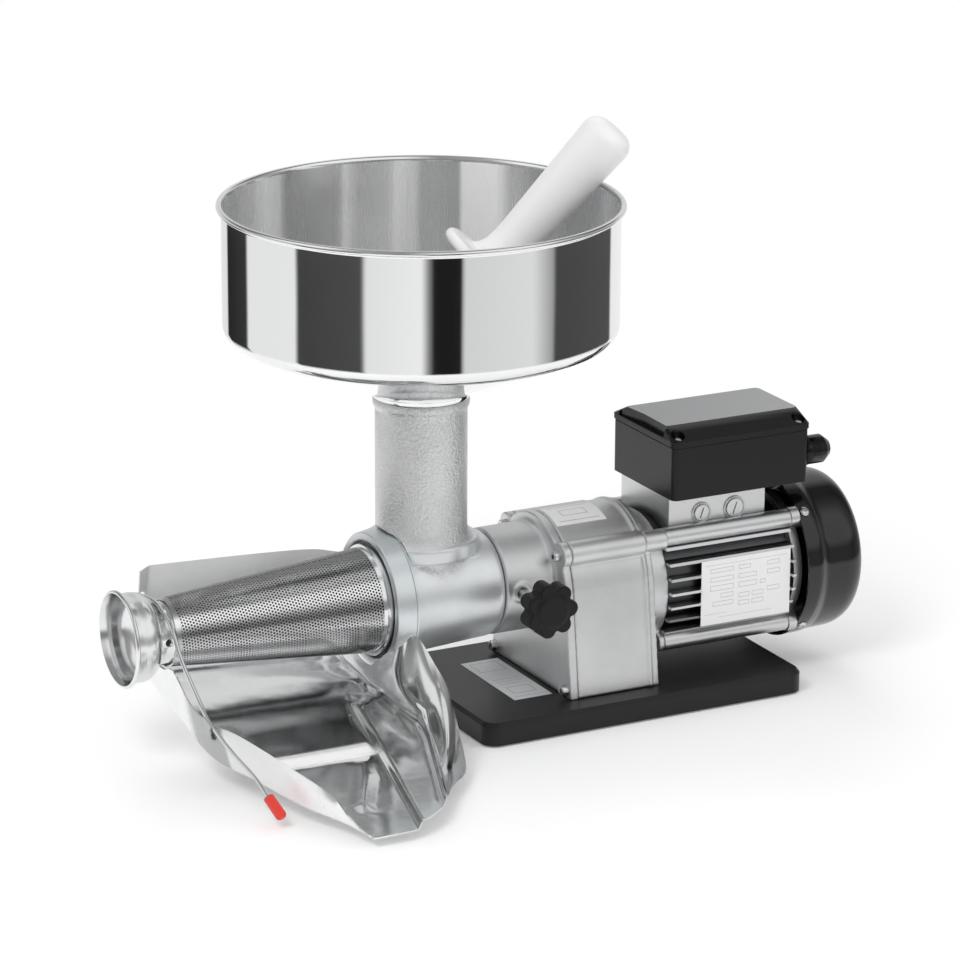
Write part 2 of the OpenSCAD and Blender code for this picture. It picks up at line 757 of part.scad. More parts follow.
module cable_gland() {
    color("#1a1a1b") placed() {
        difference() {
            union() {
                rod_x(term_x + term_len - 7, term_x + term_len + 3, 8, gland_y, gland_z);
                translate([term_x + term_len, gland_y, gland_z]) rotate([0, 90, 0])
                    cylinder(h = 6, r = 13, $fn = 6);
                rod_x(term_x + term_len + 6, term_x + term_len + 18, 11.5, gland_y, gland_z);
                translate([term_x + term_len + 18, gland_y, gland_z]) rotate([0, 90, 0])
                    cylinder(h = 6, r1 = 11.5, r2 = 7);
            }
            rod_x(term_x + term_len - 8, term_x + term_len + 25, 3.75, gland_y, gland_z);
        }
    }
}

// Press body
module press_body() {
    color("#a9acae") placed() difference() {
        union() {
            // barrel with draft, threaded nose and spigot
            turned() polygon([[0, nose_front], [barrel_r + 1, nose_front], [barrel_r + 1, ring_back + 0.2],
                [barrel_r, ring_back + 0.3], [barrel_r, ring_back + 8], [barrel_rear_r, barrel_rear - 4],
                [barrel_rear_r - 2, barrel_rear], [spigot_r, barrel_rear],
                [spigot_r, barrel_rear + spigot_len - 1], [spigot_r - 1, barrel_rear + spigot_len],
                [0, barrel_rear + spigot_len]]);
            // neck with a concave blend at its foot, cut back where the ring nut turns
            difference() {
                union() {
                    translate([0, 0, press_z]) cylinder(h = neck_top - press_z, r = neck_r);
                    translate([0, 0, press_z + barrel_r - 12]) rotate_extrude($fn = 96) difference() {
                        square([neck_r + 8, 12 + neck_blend]);
                        translate([neck_r + neck_blend, 12 + neck_blend]) circle(r = neck_blend, $fn = 64);
                    }
                }
                rod_x(nose_front - 20, ring_back + gap, ring_r + 0.5, 0, press_z);
            }
            translate([0, 0, neck_top - 6]) rotate_extrude($fn = 96) polygon([[0, -3], [neck_r - 0.5, -3],
                [neck_r + 1.8, 0], [neck_r + 1.8, 5], [neck_r + 0.8, 6], [0, 6]]);
        }
        rod_x(nose_front - 1, barrel_rear - 8, bore_r, 0, press_z);
        rod_x(barrel_rear - 10, barrel_rear + spigot_len + 1, 16.5, 0, press_z);
        rod_x(barrel_rear + 4, barrel_rear + spigot_len + 1, spigot_r - 5, 0, press_z);
        translate([0, 0, press_z]) cylinder(h = neck_top, r = neck_r - neck_wall);
    }
}

module thrust_washer() {
    color("#e8e4da") placed() turned() translate([16.5 + gap, barrel_rear - 11]) square([17, 3]);
}

// Auger: shaft, tapering core and one helical flight
flight_turns = 5.5;
auger_back = barrel_rear - 12;
auger_tip = cone_end + 14;
flight_back = auger_back - 4.5;
function cone_at(x) = cone_r + (cone_small_r - cone_r) * (cone_x - x) / cone_len;
function tip_at(x) = min(bore_r - 1.5, cone_at(min(x, cone_x)) - cone_sheet - 1.5);
function core_at(x) = 12 + 5 * (auger_back - x) / (auger_back - auger_tip);
flight_n = 24 * flight_turns;
module auger() {
    color("#d9d9d6") placed() {
        translate([0, 0, press_z]) polyhedron([for (i = [0:flight_n]) let (
                x = flight_back - (flight_back - auger_tip) * i / flight_n,
                a = -360 * flight_turns * i / flight_n,
                t = 2 + 1.5 * (1 - i / flight_n), rt = tip_at(x) - max(0, i - flight_n + 8) * 0.6,
                rc = 8, d = [0, cos(a), sin(a)])
            for (q = [[rc, t], [rt, t * 0.5], [rt, -t * 0.5], [rc, -t]]) [x + q[1], 0, 0] + q[0] * d],
            concat([[3, 2, 1, 0]],
                [for (i = [0:flight_n - 1], k = [0:3]) let (a = 4 * i + k, b = 4 * i + (k + 1) % 4)
                    each [[a, b, b + 4], [a, b + 4, a + 4]]],
                [[for (k = [0:3]) 4 * flight_n + k]]));
        turned() polygon([[0, auger_tip - 5], [core_at(auger_tip) - 5, auger_tip - 5],
            [core_at(auger_tip), auger_tip],
            [core_at(auger_back), auger_back - 2], [bore_r - 1, auger_back - 2], [bore_r - 1, auger_back + 0.7],
            [16.5 - fit, auger_back + 0.7], [16.5 - fit, barrel_rear + 3], [8, barrel_rear + 3.5],
            [0, barrel_rear + 3.5]]);
        box_between([barrel_rear, -square_w / 2 + 0.15, press_z - square_w / 2 + 0.15],
            [socket_x + 16, square_w / 2 - 0.15, press_z + square_w / 2 - 0.15]);
    }
}

// Hopper
drop = 12;
module hopper() {
    color("#c8cacc") placed() translate([0, 0, neck_top]) rotate_extrude($fn = 120) {
        hopper_profile();
        translate([hopper_r - rim_bead, hopper_h - rim_bead]) circle(r = rim_bead, $fn = 32);
    }
}

// Sheet profile: spout, seat, shallow cone, round corner and upright wall
module hopper_profile() {
    wall_z = hopper_h - hopper_wall_h - rim_bead;
    cone_z = 4;
    slope = atan2(wall_z - drop * 0.8 - cone_z, wall_r - neck_r - 2);
    inner = [[spout_r - sheet, -28], [spout_r - sheet, cone_z + sheet], [neck_r + 2, cone_z + sheet + 0.3]];
    corner = [for (a = [-90 + slope:(90 - slope) / 6:0.01]) a];
    polygon(concat(
        [[spout_r - sheet, -28], [spout_r, -28], [spout_r, 0], [neck_r + 1, 0], [neck_r + 2, 1],
            [neck_r + 2, cone_z]],
        [for (a = corner) [wall_r - drop + drop * cos(a), wall_z + drop * sin(a)]],
        [[wall_r, hopper_h - rim_bead], [wall_r - sheet, hopper_h - rim_bead]],
        [for (k = [len(corner) - 1:-1:0]) [wall_r - drop + (drop - sheet) * cos(corner[k]),
            wall_z + (drop - sheet) * sin(corner[k])]],
        [[neck_r + 2.3, cone_z + sheet], [spout_r - sheet, cone_z + sheet]]));
}

// Pestle leaning on the rim, its lower end close to the cone
pestle_foot = [17.8, 40, neck_top + 22];
pestle_turn = -20.5;
module pestle() {
    color("#f1f1ef") placed() translate(pestle_foot) rotate([0, pestle_lean, pestle_turn])
        rotate_extrude($fn = 64) polygon(concat(
            [[0, 0], [plunger_r - 2, 0], [plunger_r, 2], [plunger_r, guard_at - 6]],
            [[plunger_r + 4, guard_at - 3], [guard_r - 3, guard_at - 3]],
            [for (a = [-90:30:90]) [guard_r - 4 + 4 * cos(a), guard_at + 1 + 4 * sin(a)]],
            [[20, guard_at + 5.5], [17, guard_at + 9], [17, guard_at + 30], [handle_r, pestle_len - 14]],
            [for (a = [15:15:90]) [handle_r - 12 + 12 * cos(a), pestle_len - 12 + 12 * sin(a)]],
            [[0, pestle_len]]));
}

// Filter
module filter_cone() {
    color("#9c9ea0") placed() turned() polygon([[cone_r - cone_sheet, flange_x], [barrel_r + 0.5, flange_x],
        [barrel_r + 0.5, flange_x - 1.7], [cone_r + 2.7, flange_x - 1.7], [cone_r + 2.7, cone_x],
        [cone_r, cone_x], [cone_small_r, cone_end], [cone_small_r - cone_sheet, cone_end],
        [cone_r - cone_sheet, cone_x]]);
}

module filter_collar() {
    color("#b5b7b9") placed() difference() {
        turned() polygon([[mid_r - 3, cone_end + 4], [cone_small_r - cone_sheet, cone_end + 4],
            [cone_small_r - cone_sheet, cone_end], [mid_r + 1, cone_end], [mid_r, cone_end - 1],
            [mid_r, collar_end], [mid_r - 3, collar_end]]);
        // drain windows
        for (a = [0:60:359]) translate([cone_end - 5.5, 0, press_z]) rotate([a + 30, 0, 0])
            translate([0, 0, mid_r - 5]) cylinder(h = 8, r = 3, $fn = 24);
    }
}

module outlet_cup() {
    color("#b9bbbd") placed() turned() polygon(concat(
        [[mid_r - 3, collar_end], [mid_r, collar_end], [cup_r - 4, collar_end - 0.5]],
        [for (a = [75:-15:0]) [cup_r - 4 + 4 * cos(a), collar_end - 4.5 + 4 * sin(a)]],
        [[cup_r - 0.6, cup_end + 14], [cup_r + 0.6, cup_end + 8], [lip_r - 0.8, cup_end + 3]],
        [[lip_r + 0.8, cup_end + 2], [lip_r + 1, cup_end + 1], [lip_r + 0.4, cup_end],
            [lip_r - 1.4, cup_end + 0.4]],
        [[cup_r - 0.9, cup_end + 8], [cup_r - 1.9, cup_end + 14], [cup_r - 1.4, collar_end - 5],
            [cup_r - 5, collar_end - 2.2], [mid_r - 3, collar_end - 1.8]]));
}

module ring_nut() {
    color("#a4a9ab") placed() turned() polygon([
        [barrel_r + 1 + fit, ring_back], [ring_r - 0.8, ring_back], [ring_r, ring_back - 0.8],
        [ring_r - 3, ring_front + 1], [ring_r - 4, ring_front], [cone_r + 3.6, ring_front],
        [cone_r + 3.6, flange_x - 2],
        [barrel_r + 1 + fit, flange_x - 2]]);
}

// Tray: a pressed sheet through rows of points [x, y, z], back wall to mouth
hook_x = ring_back + gap + 0.5;
tray_lip_x = ring_front - 3.5;
function around(r, a, x) = [x, r * cos(a), press_z + r * sin(a)];
end_x = collar_end + 9;
tray_lip_r = cone_r + 9.5;
neck_cut = mid_r + 3.2;
tray_rows = [
    [[end_x + 12, 66, tray_back_z], [end_x + 22, 70, tray_back_z + 2], [-110, 71, tray_back_z - 2],
        [-62, 70, tray_back_z - 5], [-44, 67, tray_back_z - 8], [-35, 65, tray_back_z - 10],
        [hook_x, 62, tray_back_z - 12]],
    [[end_x + 6, 57, 104], [end_x + 14, 64, 98], [-110, 66, 96], [-62, 65, 94], [-44, 63, 96], [-33, 62, 99],
        [hook_x, 60, 104]],
    [[end_x + 3, 46, 80], [end_x + 12, 50, 64], [-110, 52, 60], [-64, 50, 57], [-54, 51, 62], [-50, 53, 70],
        [-44, 55, 86]],
    [around(neck_cut, -32, end_x), [end_x + 4, 33, 58], [-104, 32, 51], [-62, 31, 47], [-54, 33, 48.5],
        [-50.5, 36, 56], around(tray_lip_r + 1, -45, tray_lip_x)],
    [around(neck_cut, -68, end_x), [end_x + 4, 20, 52], [-100, 16, 46], [-60, 14, 43.5], [-53.5, 15, 44.5],
        [-50.5, 16, 49], around(tray_lip_r, -70, tray_lip_x)],
    [around(neck_cut, -103, end_x), [end_x + 5, -2, 44], [-94, 0, 41], [-59, -3, 41.5], [-53, -4, 43],
        [-50.5, -4.5, 47.5], around(tray_lip_r, -96, tray_lip_x)],
    [around(neck_cut + 5, -132, end_x + 1), [end_x + 8, -26, 36], [-86, -24, 35], [-58, -25, 37],
        [-52.5, -26, 40], [-50, -27, 50], around(tray_lip_r + 0.5, -122, tray_lip_x)],
    [[end_x + 3, -50, 62], [end_x + 11, -46, 27], [-81, -50, 27], [-55, -48, 33], [-50, -48, 37], [-47, -49, 55],
        [-43, -52, 77]],
    [[end_x + 9, -73, 54], [end_x + 16, -70, 20.5], [-80, -79, 20], [-52, -78, 27], [-46, -78, 31],
        [-38, -69, 56], [-33, -57.5, 87]],
    [[end_x + 16, -104, 54], [end_x + 26, -108, 18.8], [-86, -108, 16], [-52, -104, 22], [-43, -104, 27],
        [-34, -92, 46], [-25, -73, 70]],
    [[end_x + 32, -147, 44.6], [end_x + 40, -158, 14.3], [-95, -150, 12], [-62, -138, 16], [-50, -134, 20],
        [-36, -116, 34], [-22, -92, 52]],
    [[end_x + 54, -184, 28], [end_x + 58, -199, 11], [-104, -192, 10], [-78, -176, 12], [-66, -164, 13.5],
        [-46, -149, 16], [-31, -136, 15]],
    [[end_x + 60, -tray_reach + 22, mouth_z + 4], [end_x + 66, -tray_reach + 1.5, mouth_z],
        [-114, -tray_reach + 4, mouth_z], [-90, -tray_reach + 18, mouth_z + 1],
        [-80, -tray_reach + 30, mouth_z + 1], [-62, -tray_reach + 54, mouth_z + 1.5],
        [-44, -tray_reach + 74, mouth_z + 2]]
];
row_cuts = 3;
col_cuts = 4;
function column(g, j) = [for (r = g) r[j]];
half_grid = [for (r = tray_rows) smooth(r, col_cuts)];
grid_t = [for (j = [0:len(half_grid[0]) - 1]) smooth(column(half_grid, j), row_cuts)];
grid = [for (i = [0:len(grid_t[0]) - 1]) column(grid_t, i)];
nr = len(grid);
nc = len(grid[0]);
function normal_at(i, j) = unit(cross(grid[min(i + 1, nr - 1)][j] - grid[max(i - 1, 0)][j],
    grid[i][min(j + 1, nc - 1)] - grid[i][max(j - 1, 0)]));
tray_top = [for (r = grid, q = r) q];
tray_under = [for (i = [0:nr - 1], j = [0:nc - 1]) grid[i][j] - tray_sheet * normal_at(i, j)];
tray_front = min([for (q = concat(tray_top, tray_under)) q[1]]);

// The part stands with the middle of its outline on the origin
shift_x = -(cup_end + cowl_end) / 2;
shift_y = -(tray_front + hopper_r) / 2;

module drip_tray() {
    n = nr * nc;
    edge = concat([for (j = [0:nc - 1]) j], [for (i = [1:nr - 1]) i * nc + nc - 1],
        [for (j = [nc - 2:-1:0]) (nr - 1) * nc + j], [for (i = [nr - 2:-1:1]) i * nc]);
    color("#b7b9bb") placed() {
        polyhedron(concat(tray_top, tray_under), concat(
            [for (i = [0:nr - 2], j = [0:nc - 2]) let (a = i * nc + j)
                each [[a, a + nc, a + 1], [a + 1, a + nc, a + nc + 1]]],
            [for (i = [0:nr - 2], j = [0:nc - 2]) let (a = n + i * nc + j)
                each [[a, a + 1, a + nc], [a + 1, a + nc + 1, a + nc]]],
            [for (k = [0:len(edge) - 1]) let (a = edge[k], b = edge[(k + 1) % len(edge)])
                each [[a, b, n + b], [a, n + b, n + a]]]));
        // eye of the bail's pivot
        along_x(end_x + 5.4, end_x + 6.6) difference() {
            union() {
                translate([pivot_y, pivot_z]) circle(r = 5.5, $fn = 48);
                polygon([[pivot_y - 3, pivot_z - 4.6], [58, 99], [60, 112], [pivot_y + 2, pivot_z + 5]]);
            }
            translate([pivot_y, pivot_z]) circle(r = wire_r + gap / 2, $fn = 48);
        }
        // open clip that holds the wire down
        translate(clip_at) rotate([0, 0, 8]) rotate([29, 0, 0]) {
            box_between([-wire_r - 1.9, -2.5, -wire_r - 3], [7, 2.5, -wire_r - 0.8]);
            box_between([-wire_r - 1.9, -2.5, -wire_r - 3], [-wire_r - 0.9, 2.5, 1.5]);
        }
    }
}

// Bail: a sprung wire over the outlet's collar, hooked at the tray's edge
bail_x = collar_end + 3.5;
wire_top = mid_r + gap + wire_r;
pivot_y = 46;
pivot_z = press_z + 12;
clip_at = [end_x + 5, -77, 57];
bail_points = [[end_x + 10, pivot_y, pivot_z], [end_x + 3, pivot_y, pivot_z],
    [end_x - 3, pivot_y - 1, pivot_z + 1.5],
    [bail_x, pivot_y - 8, pivot_z + 8], around(wire_top + 3, 58, bail_x), around(wire_top, 90, bail_x),
    around(wire_top + 1, 116, bail_x), [bail_x, -33, 119], [bail_x + 2, -48, 96], [clip_at[0] - 2, -62, 70],
    clip_at, [clip_at[0] + 4.4, -107, 43.2], [clip_at[0] + 10, -136, 31.5], [clip_at[0] + 15.4, -153, 17.5]];
module wire_bail() {
    color("#b0b2b4") placed() swept(smooth(bail_points, 3), wire_r, 8);
}

module bail_grip() {
    a = bail_points[len(bail_points) - 2];
    b = bail_points[len(bail_points) - 1];
    d = unit(b - a);
    color("#e4463f") placed() difference() {
        translate(b - 6 * d) rotate([0, acos(d[2]), atan2(d[1], d[0])])
            rotate_extrude($fn = 32) polygon([[0, 0], [3.6, 0], [4.2, 0.8], [4.2, 18], [2.6, 20], [0, 20]]);
        translate(b - 8 * d) rotate([0, acos(d[2]), atan2(d[1], d[0])]) cylinder(h = 8.2, r = wire_r + gap);
    }
}

// Clamp
stud_x = collar_front + 13;
stud_z = press_z + 1;
knob_y = -collar_r - 29;
module clamp_stud() {
    color("#b5b7ba") placed() rod_y(knob_y - 14, -spigot_r - gap, stud_r, stud_x, stud_z);
}

module clamp_knob() {
    color("#141415") placed() translate([stud_x, knob_y, stud_z]) rotate([90, 0, 0]) difference() {
        union() {
            cylinder(h = 5, r1 = 9, r2 = 11);
            translate([0, 0, 4.9]) linear_extrude(16) knob_outline(0);
            translate([0, 0, 20.8]) cylinder(h = 1.6, r1 = 15, r2 = 12);
        }
        translate([0, 0, -1]) cylinder(h = 15.5, r = stud_r + fit);
    }
}

module knob_outline(inset) {
    difference() {
        union() {
            circle(r = knob_r - 5, $fn = 64);
            for (k = [0:knob_lobes - 1]) rotate(360 * k / knob_lobes)
                translate([knob_r - 6.5, 0]) circle(r = 6.5, $fn = 32);
        }
        for (k = [0:knob_lobes - 1]) rotate(360 * (k + 0.5) / knob_lobes) translate([knob_r + 1.5, 0])
            circle(r = 5, $fn = 32);
    }
}

base_plate();
rubber_feet();
base_bolts();
base_label();
gearbox_housing();
gearbox_cover();
cover_screws();
gearbox_label();
output_bearings();
shaft_seal();
layshaft_bearings();
motor_shield();
motor_frame();
end_shield();
motor_bearings();
stator_core();
stator_windings();
fan_cover();
fan_cover_screws();
rating_label();
blanking_plugs();
terminal_box();
terminal_block();
capacitor();
lid_gasket();
terminal_lid();
lid_screws();
cable_gland();
rotor_shaft();
rotor_core();
motor_pinion();
fan();
layshaft();
middle_gear();
output_shaft();
output_gear();
press_body();
thrust_washer();
auger();
hopper();
pestle();
filter_cone();
filter_collar();
outlet_cup();
ring_nut();
drip_tray();
wire_bail();
bail_grip();
clamp_stud();
clamp_knob();
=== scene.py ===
import math
import bmesh
import bpy
import numpy as np
from mathutils import Matrix, Vector


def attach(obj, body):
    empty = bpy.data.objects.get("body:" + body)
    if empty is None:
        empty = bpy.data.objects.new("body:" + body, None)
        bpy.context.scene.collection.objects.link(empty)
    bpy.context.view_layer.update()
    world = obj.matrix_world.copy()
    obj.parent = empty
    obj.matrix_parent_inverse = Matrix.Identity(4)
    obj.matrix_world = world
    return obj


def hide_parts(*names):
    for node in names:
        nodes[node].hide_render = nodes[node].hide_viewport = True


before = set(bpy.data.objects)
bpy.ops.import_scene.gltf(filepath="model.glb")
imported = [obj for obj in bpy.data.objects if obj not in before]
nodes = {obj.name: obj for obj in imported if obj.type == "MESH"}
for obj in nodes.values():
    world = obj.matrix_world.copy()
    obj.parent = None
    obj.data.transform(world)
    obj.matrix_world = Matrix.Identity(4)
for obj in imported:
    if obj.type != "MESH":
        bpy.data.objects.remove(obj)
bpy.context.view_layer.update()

scene = bpy.context.scene

# The drawing's origin is the neck's axis on the table; the frame's is the middle of the machine
origin = {"x": -56.05, "y": 37.3809}
pressZ = 104.0
motorZ = 89.0
ringBack = -28.4
ringFront = ringBack - 17
noseFront = ringFront + 8
coneX = ringFront - 3
coneEnd = coneX - 168
collarEnd = coneEnd - 11
cupEnd = collarEnd - 26
endX = collarEnd + 9
neckTop = 262.0


def mm(x, y, z):
    return Vector(((x + origin["x"]) / 1000, (y + origin["y"]) / 1000, z / 1000))


class Wire:
    def __init__(self, recipe, socket):
        self.recipe, self.socket = recipe, socket

    def math(self, operation, a, b=None):
        values = {0: a} if b is None else {0: a, 1: b}
        return self.recipe.node("ShaderNodeMath", {"operation": operation}, values)

    def __add__(self, other): return self.math("ADD", self, other)
    def __radd__(self, other): return self.math("ADD", other, self)
    def __sub__(self, other): return self.math("SUBTRACT", self, other)
    def __rsub__(self, other): return self.math("SUBTRACT", other, self)
    def __mul__(self, other): return self.math("MULTIPLY", self, other)
    def __rmul__(self, other): return self.math("MULTIPLY", other, self)
    def __truediv__(self, other): return self.math("DIVIDE", self, other)
    def __gt__(self, other): return self.math("GREATER_THAN", self, other)
    def __lt__(self, other): return self.math("LESS_THAN", self, other)


class Recipe:
    def __init__(self, tree):
        self.tree = tree

    def node(self, kind, settings=None, values=None, out=0):
        made = self.tree.nodes.new(kind)
        for key, value in (settings or {}).items():
            if key == "stops":
                ramp = made.color_ramp
                while len(ramp.elements) < len(value):
                    ramp.elements.new(0.5)
                for element, (place, colour) in zip(ramp.elements, value):
                    element.position, element.color = place, (*colour, 1)
            elif key == "ramp":
                made.color_ramp.interpolation = value
            else:
                setattr(made, key, value)
        for key, value in (values or {}).items():
            socket = made.inputs[key]
            if isinstance(value, Wire):
                self.tree.links.new(value.socket, socket)
            elif socket.type == "RGBA" and len(value) == 3:
                socket.default_value = (*value, 1)
            else:
                socket.default_value = value
        return Wire(self, made.outputs[out]) if len(made.outputs) else made

    def outputs(self, kind, names, settings=None, values=None):
        made = self.node(kind, settings, values).socket.node
        return [Wire(self, made.outputs[name]) for name in names]

    def place(self):
        return self.node("ShaderNodeTexCoord", {}, {}, "Object")

    def axes(self, vector=None):
        return self.outputs("ShaderNodeSeparateXYZ", "XYZ", {}, {0: self.place() if vector is None else vector})

    def noise(self, scale, detail=2.0, stretch=(1, 1, 1)):
        where = self.node("ShaderNodeMapping", {}, {"Vector": self.place(), "Scale": stretch})
        return self.node("ShaderNodeTexNoise", {}, {"Vector": where, "Scale": scale, "Detail": detail})

    def spread(self, value, low, high, to=(0.0, 1.0)):
        return self.node("ShaderNodeMapRange", {"clamp": True},
                         {"Value": value, "From Min": low, "From Max": high, "To Min": to[0], "To Max": to[1]})

    def mix(self, factor, a, b):
        made = self.tree.nodes.new("ShaderNodeMix")
        made.data_type = "RGBA"
        for index, value in ((0, factor), (6, a), (7, b)):
            if isinstance(value, Wire):
                self.tree.links.new(value.socket, made.inputs[index])
            else:
                made.inputs[index].default_value = value if index == 0 else (*value, 1)
        return Wire(self, made.outputs[2])

    def bump(self, height, distance):
        return self.node("ShaderNodeBump", {}, {"Height": height, "Distance": distance})

    def levels(self, where, stops, kind="EASE"):
        # grey levels along a value
        return self.node("ShaderNodeValToRGB", {"ramp": kind, "stops": [(p, (v, v, v)) for p, v in stops]}, {0: where})

    def surface(self, colour, roughness, metallic=1.0, normal=None, **others):
        values = {"Base Color": colour, "Roughness": roughness, "Metallic": metallic, **others}
        if normal is not None:
            values["Normal"] = normal
        return self.node("ShaderNodeBsdfPrincipled", {}, values)


def material(name, build):
    made = bpy.data.materials.new(name)
    made.use_nodes = True
    made.node_tree.nodes.clear()
    recipe = Recipe(made.node_tree)
    surface = build(recipe)
    recipe.node("ShaderNodeOutputMaterial", {}, {"Surface": surface})
    return made


def shades(colour, cloud):
    return tuple(c * (1 - cloud) for c in colour), tuple(min(1, c * (1 + cloud)) for c in colour)


def metal(colour, rough, grain=0.0, grainSize=1.0, cloud=0.03):
    def build(r):
        clouds = r.noise(18, 3)
        bump = r.bump(r.noise(1000 / grainSize, 2), grain / 1000) if grain else None
        tint = r.mix(r.spread(clouds, 0.3, 0.7), *shades(colour, cloud))
        return r.surface(tint, rough - cloud + clouds * (2 * cloud), normal=bump)
    return build


def plastic(colour, rough, grain=0.0, grainSize=0.6, coat=0.0, cloud=0.04, sheen=0.5):
    def build(r):
        clouds = r.noise(25, 3)
        bump = r.bump(r.noise(1000 / grainSize, 2), grain / 1000) if grain else None
        coated = {"Coat Weight": coat, "Coat Roughness": 0.04, "Specular IOR Level": sheen}
        return r.surface(r.mix(clouds, *shades(colour, cloud)), rough + (clouds - 0.5) * 0.06, 0.0, bump, **coated)
    return build


def fromOrigin(r):
    # the drawing's own axes, in metres
    x, y, z = r.axes()
    return x - origin["x"] / 1000, y - origin["y"] / 1000, z


castLook = {"neckColour": (0.80, 0.805, 0.81), "barrelColour": (0.78, 0.805, 0.815), "rough": 0.34,
            "grain": 0.5, "lumps": 0.75, "neckRadius": 0.0375, "foot": 0.114}


def castPress(r):
    # the neck is left rough from the mould, the barrel is blasted smooth
    x, y, z = fromOrigin(r)
    away, edge, foot = x.math("SQRT", x * x + y * y), castLook["neckRadius"], castLook["foot"]
    neck = r.spread(away, edge, edge + 0.004, (1.0, 0.0)) * r.spread(z, foot, foot + 0.016)
    grain, lumps, stains = r.noise(900, 2), r.noise(420, 2), r.noise(26, 3)
    height = (grain * castLook["grain"] + lumps * castLook["lumps"]) * (0.07 + neck * 0.93)
    colour = r.mix(neck, castLook["barrelColour"], castLook["neckColour"])
    colour = r.mix(r.spread(stains, 0.42, 0.72, (0.0, 0.25)), colour, (0.46, 0.48, 0.49))
    colour = r.mix(neck * r.spread(grain, 0.52, 0.68, (0.0, 0.7)), colour, (0.95, 0.95, 0.95))
    return r.surface(colour, castLook["rough"] + (stains - 0.5) * 0.12, 0.72 + neck * 0.28, r.bump(height, 0.0012))


def castBox(r):
    clouds, wipe = r.noise(16, 4), r.noise(70, 3, (1, 1, 0.14))
    colour = r.mix(r.spread(clouds, 0.35, 0.7), (0.66, 0.665, 0.67), (0.79, 0.795, 0.80))
    return r.surface(colour, 0.30 + clouds * 0.1 + wipe * 0.1, normal=r.bump(r.noise(1500, 2), 0.00012))


def finned(r):
    # painted shade: the colour goes near-black between the fins, where shadow falls in the gaps
    x, y, z = fromOrigin(r)
    up = z - motorZ / 1000
    clearOfFinShade = r.spread(y.math("SQRT", y * y + up * up), 0.0505, 0.0570)
    clouds = r.noise(30, 3)
    colour = r.mix(clearOfFinShade, (0.10, 0.102, 0.105), r.mix(clouds, (0.62, 0.625, 0.63), (0.74, 0.745, 0.75)))
    return r.surface(colour, 0.30 + clouds * 0.1, normal=r.bump(r.noise(1100, 2), 0.0001))


def mirrorSteel(r):
    return r.surface((0.86, 0.865, 0.87), 0.045 + r.noise(40, 2) * 0.03, normal=r.bump(r.noise(9, 1), 0.00035))


# grey levels of the cone's painted reflections, by turn round the press axis
coneReflectionBands = [(0.0, 0.62), (0.36, 0.70), (0.455, 0.80), (0.50, 0.36), (0.545, 0.24), (0.60, 0.40),
             (0.655, 0.95), (0.70, 1.0), (0.76, 0.55), (0.84, 0.30), (1.0, 0.25)]


def sieveSteel(r):
    # painted reflections: lighter and darker lengthwise bands, standing in for the room seen in the glossy sheet,
    # placed round the press axis
    x, y, z = fromOrigin(r)
    turn = y.math("ARCTAN2", z - pressZ / 1000, 0 - y) / math.pi + 0.5
    clouds = r.noise(18, 3)
    shade = r.levels(turn + clouds * 0.02 - 0.01, coneReflectionBands)
    return r.surface(r.mix(shade, (0.20, 0.203, 0.205), (0.94, 0.945, 0.945)), 0.19 + clouds * 0.04)


# grey levels of the painted reflections inside the hopper, across it
hopperReflectionStreaks = [(0.0, 0.30), (0.05, 0.45), (0.10, 0.75), (0.125, 0.70), (0.15, 0.16), (0.27, 0.12), (0.295, 0.65),
           (0.33, 0.34), (0.40, 0.42), (0.43, 0.72), (0.47, 0.62), (0.50, 0.24), (0.585, 0.28), (0.605, 0.98),
           (0.69, 1.0), (0.73, 0.45), (0.82, 0.12), (0.95, 0.10), (0.98, 0.40)]
streaked = {"axis": (0.8877, -0.4604), "radius": 149.5}


def brushedSteel(r):
    # painted reflections: upright light and dark bands inside the hopper, in colour and in metalness, placed across it
    x, y, z = fromOrigin(r)
    across = (x * streaked["axis"][0] + y * streaked["axis"][1]) * (500 / streaked["radius"]) + 0.5
    lines = r.noise(300, 2, (1, 1, 0.03))
    shine = r.levels(across + lines * 0.02 - 0.01, hopperReflectionStreaks)
    colour = r.mix(shine, (0.60, 0.605, 0.61), (0.97, 0.972, 0.975))
    return r.surface(colour, 0.24 + lines * 0.06, 1 - r.spread(shine, 0, 1, (0.0, 0.8)))


def pressedSteel(r):
    # painted light on the tray: painted shade in the basin and towards the ring on the near floor, a painted highlight
    # on the ledge; the ledge, the far wall and the left panel are also dull
    x, y, z = fromOrigin(r)
    wave, broad, haze = r.noise(30, 2), r.noise(11, 1), r.noise(120, 3)
    basinShade = r.spread(y, -0.036, -0.048) * r.spread(y, -0.087, -0.083) * r.spread(x, -0.078, -0.086)
    # ledge: the mask of a painted highlight, lighter in colour and less metal
    ledge = r.spread(y, -0.084, -0.088) * r.spread(y, -0.0985, -0.0955)
    ledge = ledge * r.spread(x, -0.080, -0.088) * r.spread(x, -0.190, -0.180)
    # side: the mask of painted shade towards the ring on the near floor
    side = r.spread(x - y * 0.42, -0.048, -0.034) * r.spread(y, -0.02, -0.05)
    panel = r.spread(x + y * 0.30, -0.2203, -0.2263) * r.spread(y, -0.03, -0.05)
    farWall = r.spread(y, 0.047, 0.056) * r.spread(z, 0.080, 0.100)
    dull = ledge.math("MAXIMUM", ledge, farWall.math("MAXIMUM", farWall * 0.75, panel * 0.9))
    colour = r.mix(haze, (0.84, 0.845, 0.85), (0.92, 0.925, 0.93))
    colour = r.mix(basinShade * 0.75, colour, (0.34, 0.345, 0.35))
    colour = r.mix(side * 0.35, colour, (0.42, 0.425, 0.43))
    colour = r.mix(ledge, colour, (0.97, 0.97, 0.97))
    return r.surface(colour, 0.08 + haze * 0.08 + dull * 0.30, 1 - dull * 0.8, r.bump(wave * 0.5 + broad * 2, 0.0007))


